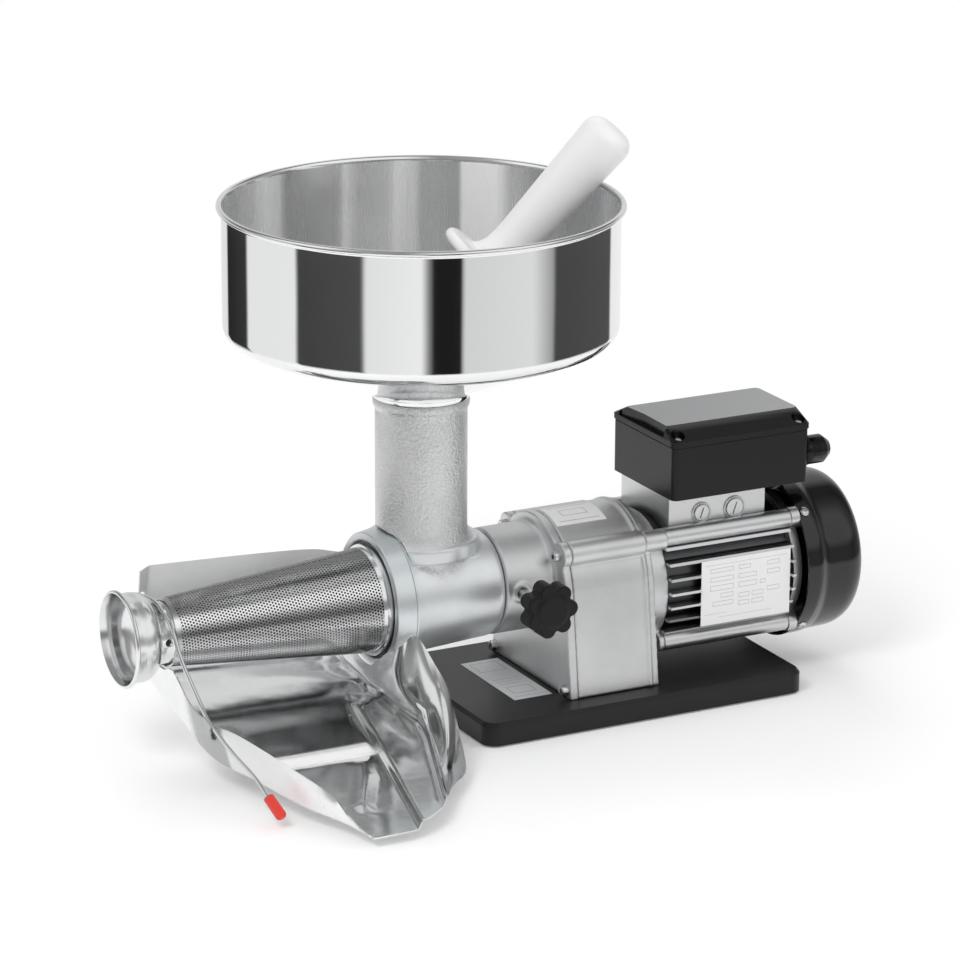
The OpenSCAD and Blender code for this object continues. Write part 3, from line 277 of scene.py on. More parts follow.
def ruled(width, height, centre, flat, paper, ink, rows, lineWidth=0.35):
    # plain boxes and rules on a label; the flat axis is left out
    def build(r):
        axes = r.axes()
        first, second = [i for i in range(3) if i != flat]
        u = (axes[first] - centre[first]) * (1000 / width) + 0.5
        v = (axes[second] - centre[second]) * (1000 / height) + 0.5
        wu, wv = lineWidth / width, lineWidth / height
        drawn = None
        for (u0, v0, u1, v1) in rows:
            inside = (u > u0) * (u < u1) * (v > v0) * (v < v1)
            inner = (u > u0 + wu) * (u < u1 - wu) * (v > v0 + wv) * (v < v1 - wv)
            drawn = inside - inner if drawn is None else inside - inner + drawn
        soft = r.noise(60, 2)
        colour = r.mix(drawn.math("MINIMUM", drawn, 1.0), r.mix(soft, tuple(c * 0.96 for c in paper), paper), ink)
        return r.surface(colour, 0.42 + soft * 0.08, 0.0)
    return build


labelRows = [(0.10, 0.80, 0.36, 0.865), (0.10, 0.66, 0.36, 0.73), (0.10, 0.52, 0.36, 0.60), (0.22, 0.40, 0.36, 0.47),
             (0.13, 0.28, 0.36, 0.35), (0.42, 0.80, 0.55, 0.865), (0.42, 0.66, 0.62, 0.73), (0.42, 0.52, 0.62, 0.60),
             (0.42, 0.36, 0.54, 0.43), (0.42, 0.24, 0.54, 0.31), (0.57, 0.36, 0.70, 0.43), (0.57, 0.24, 0.70, 0.31),
             (0.74, 0.80, 0.88, 0.865), (0.74, 0.66, 0.88, 0.73), (0.66, 0.53, 0.72, 0.59), (0.74, 0.40, 0.88, 0.47),
             (0.04, 0.92, 0.96, 0.925), (0.20, 0.10, 0.80, 0.105), (0.04, 0.16, 0.30, 0.165)]
baseRows = [(0.08, 0.06, 0.92, 0.065), (0.15, 0.72, 0.85, 0.94), (0.15, 0.50, 0.85, 0.505), (0.15, 0.44, 0.85, 0.445),
            (0.15, 0.38, 0.70, 0.385), (0.2, 0.14, 0.8, 0.3)]
topRows = [(0.10, 0.12, 0.90, 0.14), (0.10, 0.88, 0.90, 0.90), (0.25, 0.35, 0.75, 0.65)]

# metal: colour, roughness, grain, grain size, clouds; plastic has its coat before its clouds, and its sheen last
finishes = {
    "castPress": castPress, "castBox": castBox, "finnedAlloy": finned, "mirrorSteel": mirrorSteel,
    "brushedSteel": brushedSteel, "pressedSteel": pressedSteel, "coneSteel": sieveSteel,
    "plainAlloy": metal((0.66, 0.665, 0.67), 0.34, 0.10, 0.9, 0.05),
    "zincRing": metal((0.77, 0.81, 0.825), 0.36, 0.04, 0.8, 0.03),
    "cupSteel": metal((0.80, 0.805, 0.81), 0.12),
    "satinSteel": metal((0.80, 0.805, 0.81), 0.21),
    "boltSteel": metal((0.70, 0.705, 0.71), 0.24, 0.02, 0.7, 0.04),
    "darkSteel": metal((0.42, 0.425, 0.43), 0.34, 0.05, 0.7, 0.06),
    # painted shade: the auger is near-black so that the cone's holes look dark, as the inside of the cone lies in
    # shadow
    "augerMetal": metal((0.10, 0.102, 0.105), 0.45, 0.1, 0.8, 0.02),
    "copperWire": metal((0.62, 0.30, 0.14), 0.32, 0.15, 0.8, 0.08),
    "basePaint": plastic((0.006, 0.0061, 0.0065), 0.38, 0.06, 0.5, 0.0, 0.06, 0.36),
    "glossBlack": plastic((0.002, 0.002, 0.0023), 0.10, 0.0, 1.0, 0.45, 0.04, 0.34),
    "boxBlack": plastic((0.0045, 0.0045, 0.005), 0.25, 0.03, 0.5, 0.0, 0.06, 0.30),
    "lidGrey": plastic((0.30, 0.305, 0.31), 0.36, 0.02, 0.5, 0.1),
    "knobBlack": plastic((0.0035, 0.0035, 0.0037), 0.46, 0.06, 0.5, 0.0, 0.06, 0.3),
    "rubber": plastic((0.018, 0.018, 0.018), 0.7, 0.05, 0.8),
    "whitePlastic": plastic((0.90, 0.90, 0.895), 0.36, 0.02, 0.8, 0.1, 0.01),
    "redPlastic": plastic((0.72, 0.045, 0.03), 0.35, 0.04, 0.8, 0.1),
    "ivoryPlastic": plastic((0.68, 0.64, 0.52), 0.42, 0.03, 0.6),
    "ratingPaper": ruled(81, 53.2, mm(257.5, -57, 85.1), 1, (0.88, 0.88, 0.88), (0.42, 0.42, 0.43), labelRows),
    "silverPaper": ruled(33, 92, mm(74.5, 0, 19.5), 2, (0.62, 0.63, 0.64), (0.20, 0.20, 0.21), baseRows, 0.5),
    "topPaper": ruled(44, 30, mm(127.6, -9, 152), 2, (0.84, 0.84, 0.85), (0.35, 0.35, 0.37), topRows, 0.5)}
look = {name: material(name, build) for name, build in finishes.items()}
print("materials:", len(look))


def addObject(name, mesh, *finishes):
    made = bpy.data.objects.new(name, mesh)
    scene.collection.objects.link(made)
    mesh.materials.clear()
    for finish in finishes:
        mesh.materials.append(look[finish])
    return made


def smoothEdges(made, angle=35):
    made.data.shade_smooth()
    made.data.set_sharp_from_angle(angle=math.radians(angle))
    return made


def cleaned(mesh, change):
    bm = bmesh.new()
    bm.from_mesh(mesh)
    change(bm)
    bm.to_mesh(mesh)
    bm.free()
    return mesh


def merged(distance, turnedOut=False):
    def change(bm):
        bmesh.ops.remove_doubles(bm, verts=bm.verts, dist=distance)
        if turnedOut:
            bmesh.ops.recalc_face_normals(bm, faces=bm.faces)
    return change


def meshFrom(name, points, faces, closed=True):
    mesh = bpy.data.meshes.new(name)
    mesh.from_pydata([tuple(p) for p in points], [], faces)
    return cleaned(mesh, merged(1e-6, True)) if closed else mesh


def applied(made):
    # the result of the modifiers as a plain mesh
    graph = bpy.context.evaluated_depsgraph_get()
    graph.update()
    mesh = bpy.data.meshes.new_from_object(made.evaluated_get(graph))
    made.modifiers.clear()
    made.data = mesh
    return made


def held(profile, near=0.5):
    # extra rings close to each corner, so that long faces keep their own normals
    out = []
    for a, b in zip(profile, list(profile[1:]) + [profile[0]]):
        length = math.hypot(b[0] - a[0], b[1] - a[1])
        out.append(a)
        if length > 5 * near and max(a[0], b[0]) > 0:
            out += [(a[0] + (b[0] - a[0]) * t, a[1] + (b[1] - a[1]) * t) for t in (near / length, 1 - near / length)]
    return out


def turned(name, profile, place, finishes, segments=192, angle=35):
    # profile is a closed loop of [radius, height]; place(radius, turn, height) gives the point
    profile = held(profile)
    points, faces, rings = [], [], len(profile)
    for s in range(segments):
        for r, h in profile:
            points.append(place(max(r, 0.0), 2 * math.pi * s / segments, h))
    for s in range(segments):
        t = (s + 1) % segments
        for i in range(rings):
            j = (i + 1) % rings
            if profile[i][0] <= 0 and profile[j][0] <= 0:
                continue
            faces.append((s * rings + i, s * rings + j, t * rings + j, t * rings + i))
    return smoothEdges(addObject(name, meshFrom(name, points, faces), *finishes), angle)


def aboutPress(r, turn, x):
    return mm(x, r * math.cos(turn), pressZ + r * math.sin(turn))


def aboutNeck(r, turn, z):
    return mm(r * math.cos(turn), r * math.sin(turn), z)


def arc(cr, ch, radius, a0, a1, steps):
    turns = [math.radians(a0 + (a1 - a0) * k / steps) for k in range(steps + 1)]
    return [(cr + radius * math.cos(a), ch + radius * math.sin(a)) for a in turns]


def copyOf(node, name, *finishes):
    mesh = nodes[node].data.copy()
    mesh.name = name
    return addObject(name, cleaned(mesh, merged(2e-6)), *finishes)


def softened(node, name, finish, voxel, rounds):
    # a cast or moulded piece: the solid remeshed finely, then its edges rounded
    made = copyOf(node, name, finish)
    remesh = made.modifiers.new("remesh", "REMESH")
    remesh.mode, remesh.voxel_size, remesh.use_smooth_shade = "VOXEL", voxel / 1000, True
    ease = made.modifiers.new("ease", "SMOOTH")
    ease.iterations, ease.factor = rounds, 0.5
    applied(made)
    made.data.shade_smooth()
    return made


def bevelled(node, name, finishes, width, segments=2):
    made = copyOf(node, name, *finishes)

    def flattened(bm):
        bmesh.ops.dissolve_limit(bm, angle_limit=math.radians(0.6), verts=bm.verts, edges=bm.edges)
    cleaned(made.data, flattened)
    edge = made.modifiers.new("edge", "BEVEL")
    edge.width, edge.segments, edge.limit_method, edge.angle_limit = width / 1000, segments, "ANGLE", math.radians(30)
    applied(made)
    smoothEdges(made, 40)
    flat = made.modifiers.new("flat", "WEIGHTED_NORMAL")
    flat.keep_sharp = True
    return applied(made)


def carried(made, body, slot, *replaced):
    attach(made, body)
    if replaced:
        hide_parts(*replaced)
    return made


wornBy = {
    "basePaint": "base_plate", "rubber": "rubber_feet shaft_seal lid_gasket", "silverPaper": "base_label",
    "boltSteel": "base_bolts cover_screws output_bearings layshaft_bearings motor_bearings fan_cover_screws lid_screws "
                 "wire_bail clamp_stud",
    "castBox": "gearbox_housing gearbox_cover motor_shield", "topPaper": "gearbox_label", "finnedAlloy": "motor_frame",
    "plainAlloy": "end_shield blanking_plugs", "copperWire": "stator_windings", "glossBlack": "fan_cover",
    "darkSteel": "stator_core rotor_shaft rotor_core motor_pinion layshaft middle_gear output_shaft output_gear",
    "ratingPaper": "rating_label", "boxBlack": "terminal_box terminal_lid cable_gland fan", "castPress": "press_body",
    "ivoryPlastic": "terminal_block thrust_washer", "cupSteel": "capacitor filter_collar outlet_cup",
    "augerMetal": "auger", "mirrorSteel": "hopper", "whitePlastic": "pestle", "coneSteel": "filter_cone",
    "zincRing": "ring_nut",
    "pressedSteel": "drip_tray", "redPlastic": "bail_grip", "knobBlack": "clamp_knob"}
cadFinish = {node: finish for finish, worn in wornBy.items() for node in worn.split()}
for name, made in nodes.items():
    made.data.materials.clear()
    made.data.materials.append(look[cadFinish[name]])
print("solids finished:", len(nodes))


hopper = {"rim": 154.4, "bead": 2.4, "wall": 150.5, "sheet": 1.0, "height": 151.0, "wallHeight": 90.0, "corner": 12.0,
          "neck": 31.2, "bore": 30.2, "seat": 37.6, "segments": 256}


def makeHopper():
    h, z0 = hopper, neckTop
    wallZ = h["height"] - h["wallHeight"] - h["bead"]
    slope = math.degrees(math.atan2(wallZ - h["corner"] * 0.8 - 4, h["wall"] - 37.5))

    def corner(radius, a0, a1):
        return [(r, z0 + z) for r, z in arc(h["wall"] - h["corner"], wallZ, radius, a0, a1, 8)]
    neck, seat = h["neck"], h["seat"]
    outer = [(neck, z0 - 28), (neck, z0), (seat - 1.1, z0), (seat - 0.3, z0 + 0.4), (seat, z0 + 1.2), (seat, z0 + 3.6)]
    outer += corner(h["corner"], slope - 90, 0)
    rimZ = z0 + h["height"] - h["bead"]
    top = [(h["wall"], rimZ - 3.5)] + arc(h["rim"] - h["bead"], rimZ, h["bead"], -110, 150, 14)
    inner = [(h["wall"] - h["sheet"], rimZ - 1)] + corner(h["corner"] - h["sheet"], 0, slope - 90)
    inner += [(37.8, z0 + 5.0), (31.6, z0 + 4.4), (h["bore"], z0 + 3.4), (h["bore"], z0 - 28)]
    made = turned("hopperShell", outer + top + inner, aboutNeck, ("mirrorSteel", "brushedSteel"), h["segments"], 40)
    for face in made.data.polygons:
        c, normal = face.center * 1000, face.normal
        facesIn = normal.x * (c.x - origin["x"]) + normal.y * (c.y - origin["y"]) < 0 or normal.z > 0.5
        face.material_index = 1 if facesIn and c.z < z0 + h["height"] - 7 else 0
    return carried(made, "bowl", "stainless", "hopper")


makeHopper()

plugs = {"places": ((0.0, 6.2), (30.0, 7.2)), "gap": 1.0, "bead": 1.3, "face": 1.6}


def makePlugs():
    # a raised ring round each plug, and inside it a darker ring, painted shade in the groove
    bpy.context.view_layer.update()
    node = nodes["blanking_plugs"]
    xs, ys, zs = zip(*[node.matrix_world @ v.co * 1000 for v in node.data.vertices])
    base, level = min(ys) + plugs["face"], (min(zs) + max(zs)) / 2
    first = min(xs) + plugs["places"][0][1]
    for index, (step, radius) in enumerate(plugs["places"]):
        def about(r, turn, y, x=first + step):
            return Vector(((x + r * math.cos(turn)) / 1000, y / 1000, (level + r * math.sin(turn)) / 1000))
        a, b = radius + plugs["gap"], radius + plugs["gap"] + plugs["bead"]
        gap = [(radius - 0.2, base - 0.25), (a + 0.2, base - 0.25), (a + 0.2, base + 0.4), (radius - 0.2, base + 0.4)]
        rim = [(a, base + 0.4), (a, base - 0.9), (a + 0.4, base - 1.2), (b - 0.4, base - 1.2), (b, base - 0.9),
               (b, base + 0.4)]
        carried(turned("plugGap%d" % index, gap, about, ("darkSteel",), 64), "machine", "zinc_steel")
        carried(turned("plugRim%d" % index, rim, about, ("plainAlloy",), 64), "machine", "cast_alloy")


makePlugs()

pestle = {"foot": (17.8, 40.0, 284.0), "lean": 41.2, "turn": -20.5, "plunger": 15.0, "guard": 45.0, "guardAt": 84.0,
          "grip": 17.4, "handle": 21.0, "length": 229.0, "end": 12.5}


def makePestle():
    p = pestle
    spin = Matrix.Rotation(math.radians(p["turn"]), 4, "Z") @ Matrix.Rotation(math.radians(p["lean"]), 4, "Y")
    at = p["guardAt"]
    profile = [(0, 0.3)] + arc(p["plunger"] - 3, 3, 3, -90, 0, 5) + [(p["plunger"], at - 10)]
    profile += arc(p["plunger"] + 6, at - 10, 6, 180, 90, 5)[1:] + [(p["guard"] - 6, at - 3)]
    profile += arc(p["guard"] - 4.2, at + 1, 4.2, -80, 85, 9)
    profile += [(30, at + 5.4), (25, at + 7), (21, at + 10.5), (18.6, at + 16), (17.6, at + 24)]
    slim, long = p["grip"], p["length"] - 13 - at - 34
    profile += [(slim + (p["handle"] - slim) * t / 4, at + 34 + long * t / 4) for t in range(5)]
    profile += arc(p["handle"] - p["end"], p["length"] - p["end"], p["end"], 5, 90, 9) + [(0, p["length"])]

    def place(r, turn, h):
        v = spin @ Vector((r * math.cos(turn), r * math.sin(turn), h))
        return mm(p["foot"][0] + v.x, p["foot"][1] + v.y, p["foot"][2] + v.z)
    made = turned("pestleMoulding", profile, place, ("whitePlastic",), 128, 60)
    return carried(made, "pusher", "white_plastic", "pestle")


makePestle()


cone = {"large": 41.0, "small": 26.0, "length": 168.0, "sheet": 1.2, "pitch": 2.55, "hole": 0.62, "plainEnd": 2.4,
        "seam": 3.2, "strip": 5.2, "halves": 2, "band": 43.4, "bandEdge": 46.5}


def sockets(tree, inputs):
    # the named inputs of a node tree, as wires
    for label, kind in inputs.items():
        tree.interface.new_socket(name=label, in_out="INPUT", socket_type="NodeSocket" + kind)
    tree.interface.new_socket(name="Made", in_out="OUTPUT", socket_type="NodeSocketGeometry")
    r = Recipe(tree)
    start = tree.nodes.new("NodeGroupInput")
    return r, {socket.name: Wire(r, socket) for socket in start.outputs if socket.name}


def ended(r, geometry, finish):
    real = r.node("GeometryNodeRealizeInstances", {}, {0: geometry})
    finished = r.node("GeometryNodeSetMaterial", {}, {"Geometry": real, "Material": finish})
    end = r.tree.nodes.new("NodeGroupOutput")
    r.tree.links.new(finished.socket, end.inputs[0])
    return r.tree


def perforationTree():
    # a grid of hexagons with a hole in each, cut to the cone's flat pattern and rolled up
    tree = bpy.data.node_groups.new("perforation", "GeometryNodeTree")
    floats = ("Middle slant", "Least slant", "Greatest slant", "Turn from", "Turn to", "Sine", "Cosine")
    r, size = sockets(tree, {"Pitch": "Float", "Hole": "Float", "Columns": "Int", "Rows": "Int",
                             **{label: "Float" for label in floats}, "Apex": "Vector", "Finish": "Material"})
    rowPitch = size["Pitch"] * (math.sqrt(3) / 2)
    grid = r.node("GeometryNodeMeshGrid", {}, {
        "Size X": (size["Columns"] - 1) * size["Pitch"], "Size Y": (size["Rows"] - 1) * rowPitch,
        "Vertices X": size["Columns"], "Vertices Y": size["Rows"]})

    def polar():
        x, y, z = r.axes(r.node("GeometryNodeInputPosition"))
        y = y + size["Middle slant"]
        return x.math("SQRT", x * x + y * y), x.math("ARCTAN2", x, y)
    x, y, z = r.axes(r.node("GeometryNodeInputPosition"))
    row = y.math("ROUND", y / rowPitch + 0.5)
    odd = row.math("FLOORED_MODULO", row, 2.0)
    nudge = r.node("ShaderNodeCombineXYZ", {}, {0: odd * size["Pitch"] * 0.5})
    shifted = r.node("GeometryNodeSetPosition", {}, {"Geometry": grid, "Offset": nudge})
    cells = r.node("GeometryNodeDualMesh", {}, {0: r.node("GeometryNodeTriangulate", {}, {0: shifted})})
    slant, turn = polar()
    outside = (slant < size["Least slant"]) + (slant > size["Greatest slant"])
    outside = outside + (turn < size["Turn from"]) + (turn > size["Turn to"])
    kept = r.node("GeometryNodeDeleteGeometry", {"domain": "FACE"}, {"Geometry": cells, "Selection": outside})
    inset, top = r.outputs("GeometryNodeExtrudeMesh", ("Mesh", "Top"), {"mode": "FACES"},
                           {"Mesh": kept, "Offset Scale": 0.0, "Individual": True})
    shrunk = r.node("GeometryNodeScaleElements", {"domain": "FACE"},
                    {"Geometry": inset, "Selection": top, "Scale": size["Hole"]})
    holed = r.node("GeometryNodeDeleteGeometry", {"domain": "FACE"}, {"Geometry": shrunk, "Selection": top})
    slant, turn = polar()
    wound, radius = turn / size["Sine"], slant * size["Sine"]
    rolled = r.node("ShaderNodeCombineXYZ", {}, {
        0: slant * size["Cosine"], 1: radius * turn.math("SINE", wound) * -1.0, 2: radius * turn.math("COSINE", wound)})
    onCone = r.node("ShaderNodeVectorMath", {"operation": "ADD"}, {0: rolled, 1: size["Apex"]})
    placed = r.node("GeometryNodeSetPosition", {}, {"Geometry": holed, "Position": onCone})
    return ended(r, placed, size["Finish"])


def setInputs(modifier, values):
    named = {item.name: item.identifier for item in modifier.node_group.interface.items_tree if item.in_out == "INPUT"}
    for label, value in values.items():
        modifier[named[label]] = value


def makeCone():
    c, flare = cone, cone["large"] - cone["small"]
    slantLength = math.hypot(c["length"], flare)
    sine, cosine = flare / slantLength, c["length"] / slantLength
    low, high = c["small"] / sine, c["large"] / sine
    half, pitch, tree = math.pi * sine, c["pitch"], perforationTree()
    parts = []
    for index in range(c["halves"]):
        t0 = -half + 2 * half * index / c["halves"]
        t1 = t0 + 2 * half / c["halves"]
        made = addObject("strainerSheet%d" % (index + 1), bpy.data.meshes.new("strainer"), "coneSteel")
        modifier = made.modifiers.new("holes", "NODES")
        modifier.node_group = tree
        setInputs(modifier, {
            "Pitch": pitch / 1000, "Hole": c["hole"], "Columns": int(2 * high * math.sin(half) / pitch) + 4,
            "Rows": int((high - low + 26) / (pitch * 0.866)) + 4, "Middle slant": ((low + high) / 2 - 6) / 1000,
            "Least slant": (low + c["plainEnd"]) / 1000, "Greatest slant": (high - c["plainEnd"]) / 1000,
            "Turn from": t0 + (c["seam"] / high if index == 0 else 0),
            "Turn to": t1 - (c["seam"] / high if index == c["halves"] - 1 else 0),
            "Sine": sine, "Cosine": cosine, "Apex": mm(coneEnd - low * cosine, 0, pressZ), "Finish": look["coneSteel"]})
        applied(made)
        cleaned(made.data, merged(1e-5))
        wall = made.modifiers.new("wall", "SOLIDIFY")
        wall.thickness, wall.offset = 0.6 * c["sheet"] / 1000, -1
        applied(made)
        smoothEdges(made, 50)
        print("cone half", index + 1, "triangles:", sum(len(f.vertices) - 2 for f in made.data.polygons))
        parts.append(made)

    def radiusAt(x):
        return c["large"] - flare * (coneX - x) / c["length"]
    r0, r1 = radiusAt(coneEnd + 4), radiusAt(coneEnd)
    tip = [(r0 + 0.15, coneEnd + 4), (r1 + 0.15, coneEnd), (r1 - c["sheet"], coneEnd), (r0 - c["sheet"], coneEnd + 4)]
    parts.append(turned("strainerTip", tip, aboutPress, ("coneSteel",), 128))
    # the seam's plain strip, on the far side
    points, faces, steps = [], [], 60
    for k in range(steps + 1):
        x = coneX - c["length"] * k / steps
        r = radiusAt(x)
        for a in (-1, 1):
            turn = math.radians(-90) + a * c["strip"] / r
            points += [aboutPress(r + 0.2, turn, x), aboutPress(r - 1.0, turn, x)]
        if k:
            b = 4 * (k - 1)
            strip = ((0, 4, 6, 2), (1, 3, 7, 5), (0, 1, 5, 4), (2, 6, 7, 3))
            faces += [tuple(b + corner for corner in face) for face in strip]
    faces += [(0, 2, 3, 1), (4 * steps, 4 * steps + 1, 4 * steps + 3, 4 * steps + 2)]
    parts.append(smoothEdges(addObject("strainerSeam", meshFrom("seam", points, faces), "coneSteel")))
    bore, band, edge = c["large"] - c["sheet"], c["band"], c["bandEdge"]
    flange = [(bore, noseFront - 0.3), (edge, noseFront - 0.3), (edge, noseFront - 2.0), (band + 0.5, noseFront - 2.2),
              (band, noseFront - 2.8), (band, coneX + 0.7), (band - 0.5, coneX), (c["large"] + 0.3, coneX - 0.2),
              (c["large"] - 0.2, coneX - 3.2), (bore - 0.2, coneX - 3.2), (bore, coneX)]
    parts.append(turned("strainerFlange", flange, aboutPress, ("cupSteel",), 160))
    carried(parts[0], "strainer", "stainless", "filter_cone")
    for made in parts[1:]:
        carried(made, "strainer", "stainless")


makeCone()
print("strainer made")


outlet = {"bore": 20.6, "throat": 21.3, "shoulder": 13, "sheet": 1.3, "rim": 35.7, "bead": 1.7}
clamp = {"bore": 47.05, "back": 55.0, "front": 52.2, "opening": 45.5}


def makeOutlet():
    x0, x1, o = collarEnd, cupEnd, outlet
    centre = (o["throat"], x0 - o["shoulder"])
    profile = [(o["bore"], x0)] + arc(*centre, o["shoulder"], 90, 0, 14)
    profile += [(34.2, x0 - 16.5), (34.4, x0 - 19), (34.9, x0 - 21)]
    profile += arc(o["rim"], x1 + 1.75, o["bead"], 110, -110, 12)
    profile += [(34.0, x1 + 3.2), (33.3, x1 + 5.5), (32.9, x1 + 8.5)]
    profile += arc(*centre, o["shoulder"] - o["sheet"], 0, 90, 14) + [(o["bore"], x0 - o["sheet"])]
    made = turned("outletCup", profile, aboutPress, ("satinSteel",), 192, 50)
    carried(made, "strainer", "stainless", "outlet_cup")
    bore, back, front, opening = [clamp[key] for key in ("bore", "back", "front", "opening")]
    grooved = [(bore, 0), (back - 0.8, 0), (back - 0.2, -0.3), (back, -0.9), (back - 0.1, -1.5), (back - 1.0, -1.7),
               (back - 1.0, -2.2), (back - 0.4, -2.5)]
    nut = [(r, ringBack + x) for r, x in grooved] + [(front, ringFront + 1.4)]
    nut += arc(front - 1, ringFront + 1.0, 1.0, 20, -90, 4)
    nut += [(opening + 1.1, ringFront), (opening + 0.4, ringFront + 0.4), (opening, ringFront + 1.2),
            (opening, noseFront - 2.6), (bore, noseFront - 2.4)]
    made = turned("clampRing", nut, aboutPress, ("zincRing",), 192, 30)
    carried(made, "ring", "cast_alloy", "ring_nut")


makeOutlet()


tray = {"sheet": 1.1, "fold": 5.5, "rib": 2.2, "lip": 1.2, "step": 5.0, "stepAt": -93.0, "swell": 2.2,
        "bend": (0.86, 1.07), "rowCuts": [8, 8, 8, 8, 8, 8, 10, 12, 30, 12, 12, 10], "clip": 12.0, "eye": 5.6}
clipAt = (endX + 5, -77, 57)
pivotY, pivotZ = 46.0, pressZ + 12


def around(r, a, x):
    return (x, r * math.cos(math.radians(a)), pressZ + r * math.sin(math.radians(a)))


hookX, neckCut = ringBack + 0.8, 27.2
trayLipX, trayLipR = ringFront - 3.5, 50.5
backZ, reach, mouthZ = 131.0, 230.0, 9.0
# from the far wall down, over the floor and forward to the mouth; each row runs from the left wall to the right
trayRows = [
    [(endX + 12, 66, backZ), (endX + 22, 71, backZ + 2), (-110, 72, backZ - 2), (-62, 71, backZ - 5),
     (-44, 67, backZ - 8), (-35, 65, backZ - 10), (hookX, 62, backZ - 12)],
    [(endX + 6, 56, 104), (endX + 14, 61.5, 98), (-110, 62.5, 96), (-62, 62.5, 94), (-44, 63, 96),
     (-33, 62, 99), (hookX, 60, 104)],
    [(endX + 3, 46, 80), (endX + 12, 50, 64), (-110, 52, 60), (-64, 50, 57), (-54, 51, 62), (-50, 53, 70),
     (-44, 55, 86)],
    [around(neckCut, -32, endX), (endX + 4, 33, 58), (-104, 32, 51), (-62, 31, 47), (-54, 33, 48.5),
     (-50.5, 36, 56), around(trayLipR + 1, -45, trayLipX)],
    [around(neckCut, -68, endX), (endX + 4, 20, 52), (-100, 16, 46), (-60, 14, 43.5), (-53.5, 15, 44.5),
     (-50.5, 16, 49), around(trayLipR, -70, trayLipX)],
    [around(neckCut, -103, endX), (endX + 5, -2, 44), (-94, 0, 41), (-59, -3, 41.5), (-53, -4, 43),
     (-50.5, -4.5, 47.5), around(trayLipR, -96, trayLipX)],
    [around(neckCut + 5, -132, endX + 1), (endX + 8, -26, 36), (-86, -24, 35), (-58, -25, 37),
     (-52.5, -26, 40), (-50, -27, 50), around(trayLipR + 0.5, -122, trayLipX)],
    [(endX + 3, -50, 62), (endX + 11, -46, 27), (-81, -50, 27), (-55, -48, 33), (-50, -48, 37), (-47, -49, 55),
     (-43, -52, 77)],
    [(endX + 9, -73, 54), (endX + 16, -70, 20.5), (-80, -79, 20), (-52, -78, 27), (-46, -78, 31),
     (-38, -69, 56), (-33, -57.5, 87)],
    [(endX + 16, -104, 54), (endX + 26, -108, 18.8), (-86, -108, 16), (-52, -104, 22), (-43, -104, 27),
     (-34, -92, 46), (-25, -73, 70)],
    [(endX + 32, -147, 44.6), (endX + 40, -158, 14.3), (-95, -150, 12), (-62, -138, 16), (-50, -134, 20),
     (-36, -116, 34), (-22, -92, 52)],
    [(endX + 54, -184, 28), (endX + 58, -199, 11), (-104, -192, 10), (-78, -176, 12), (-66, -164, 13.5),
     (-46, -149, 16), (-31, -136, 15)],
    [(endX + 60, -reach + 22, mouthZ + 4), (endX + 66, -reach + 1.5, mouthZ), (-114, -reach + 4, mouthZ),
     (-90, -reach + 18, mouthZ + 1), (-80, -reach + 30, mouthZ + 1), (-62, -reach + 54, mouthZ + 1.5),
     (-44, -reach + 74, mouthZ + 2)]]


def between(a, b, c, d, t):
    # an easy curve through four points, from b to c
    return 0.5 * (2 * b + (c - a) * t + (2 * a - 5 * b + 4 * c - d) * t * t + (3 * b - a - 3 * c + d) * t ** 3)


def eased(points, cuts):
    points = [np.array(p, float) for p in points]
    last, out = len(points) - 1, []
    for i in range(last):
        count = cuts if isinstance(cuts, int) else cuts[i]
        near = points[max(i - 1, 0)], points[i], points[i + 1], points[min(i + 2, last)]
        out += [between(*near, k / count) for k in range(count)]
    return out + [points[-1]]


def acrossTray(row, places):
    # flat wall from the first point to the second, a tight bend there, then an easy curve
    row = [np.array(p, float) for p in row]
    last, (bendFrom, bendTo) = len(row) - 1, tray["bend"]

    def curve(v):
        i = min(int(v), last - 1)
        if i == 0:
            return row[0] + (row[1] - row[0]) * (v - i)
        return between(row[max(i - 1, 1)], row[i], row[i + 1], row[min(i + 2, last)], v - i)

    def bent(v):
        u = (v - bendFrom) / (bendTo - bendFrom)
        return (1 - u) ** 2 * curve(bendFrom) + 2 * u * (1 - u) * row[1] + u * u * curve(bendTo)
    return [bent(v) if bendFrom < v < bendTo else curve(v) for v in places]


def ramp(value):
    t = min(1.0, max(0.0, value * 0.5 + 0.5))
    return t * t * (3 - 2 * t)


def pressed(p):
    # folds and ribs pressed into the sheet, placed in plan
    x, y, z = p
    fold = np.interp(y, [-226, -150, -100, -79, -41, -18, -5], [-114, -95, -84, -80, -76.5, -73, -72])
    rib = np.interp(y, [-200, -152, -109, -87, -50, -11], [-80, -62, -47.3, -43, -47.5, -49])
    swell = np.interp(y, [-174, -130, -102], [-136, -112, -100])
    ahead = y - tray["stepAt"]

    def ridge(centre, width):
        return math.exp(-((x - centre) / width) ** 2)
    begun = ramp((-30 - y) / 16)
    z += tray["fold"] * ramp((x - fold) / 2.2) * (1 - ramp((x - rib - 14) / 14)) * begun
    z += tray["lip"] * ridge(fold + 1.6, 1.3) * begun
    if x > -100:
        z += tray["rib"] * (ridge(rib, 1.5) + 0.55 * ridge(rib - 5.5, 1.5)) * ramp((-14 - y) / 8)
    z += tray["swell"] * ridge(swell, 7) * ramp((-104 - y) / 9) * (1 - ramp((-182 - y) / 12))
    ledge = ramp(ahead / 1.6) * (1 - ramp((ahead - 38) / 30))
    z += tray["step"] * ledge * (1 - ramp((x - fold + 5) / 4)) * ramp((x + 176) / 9)
    return mm(x, y, z)


def steps(first, last, count):
    return [first + (last - first) * k / count for k in range(count)]


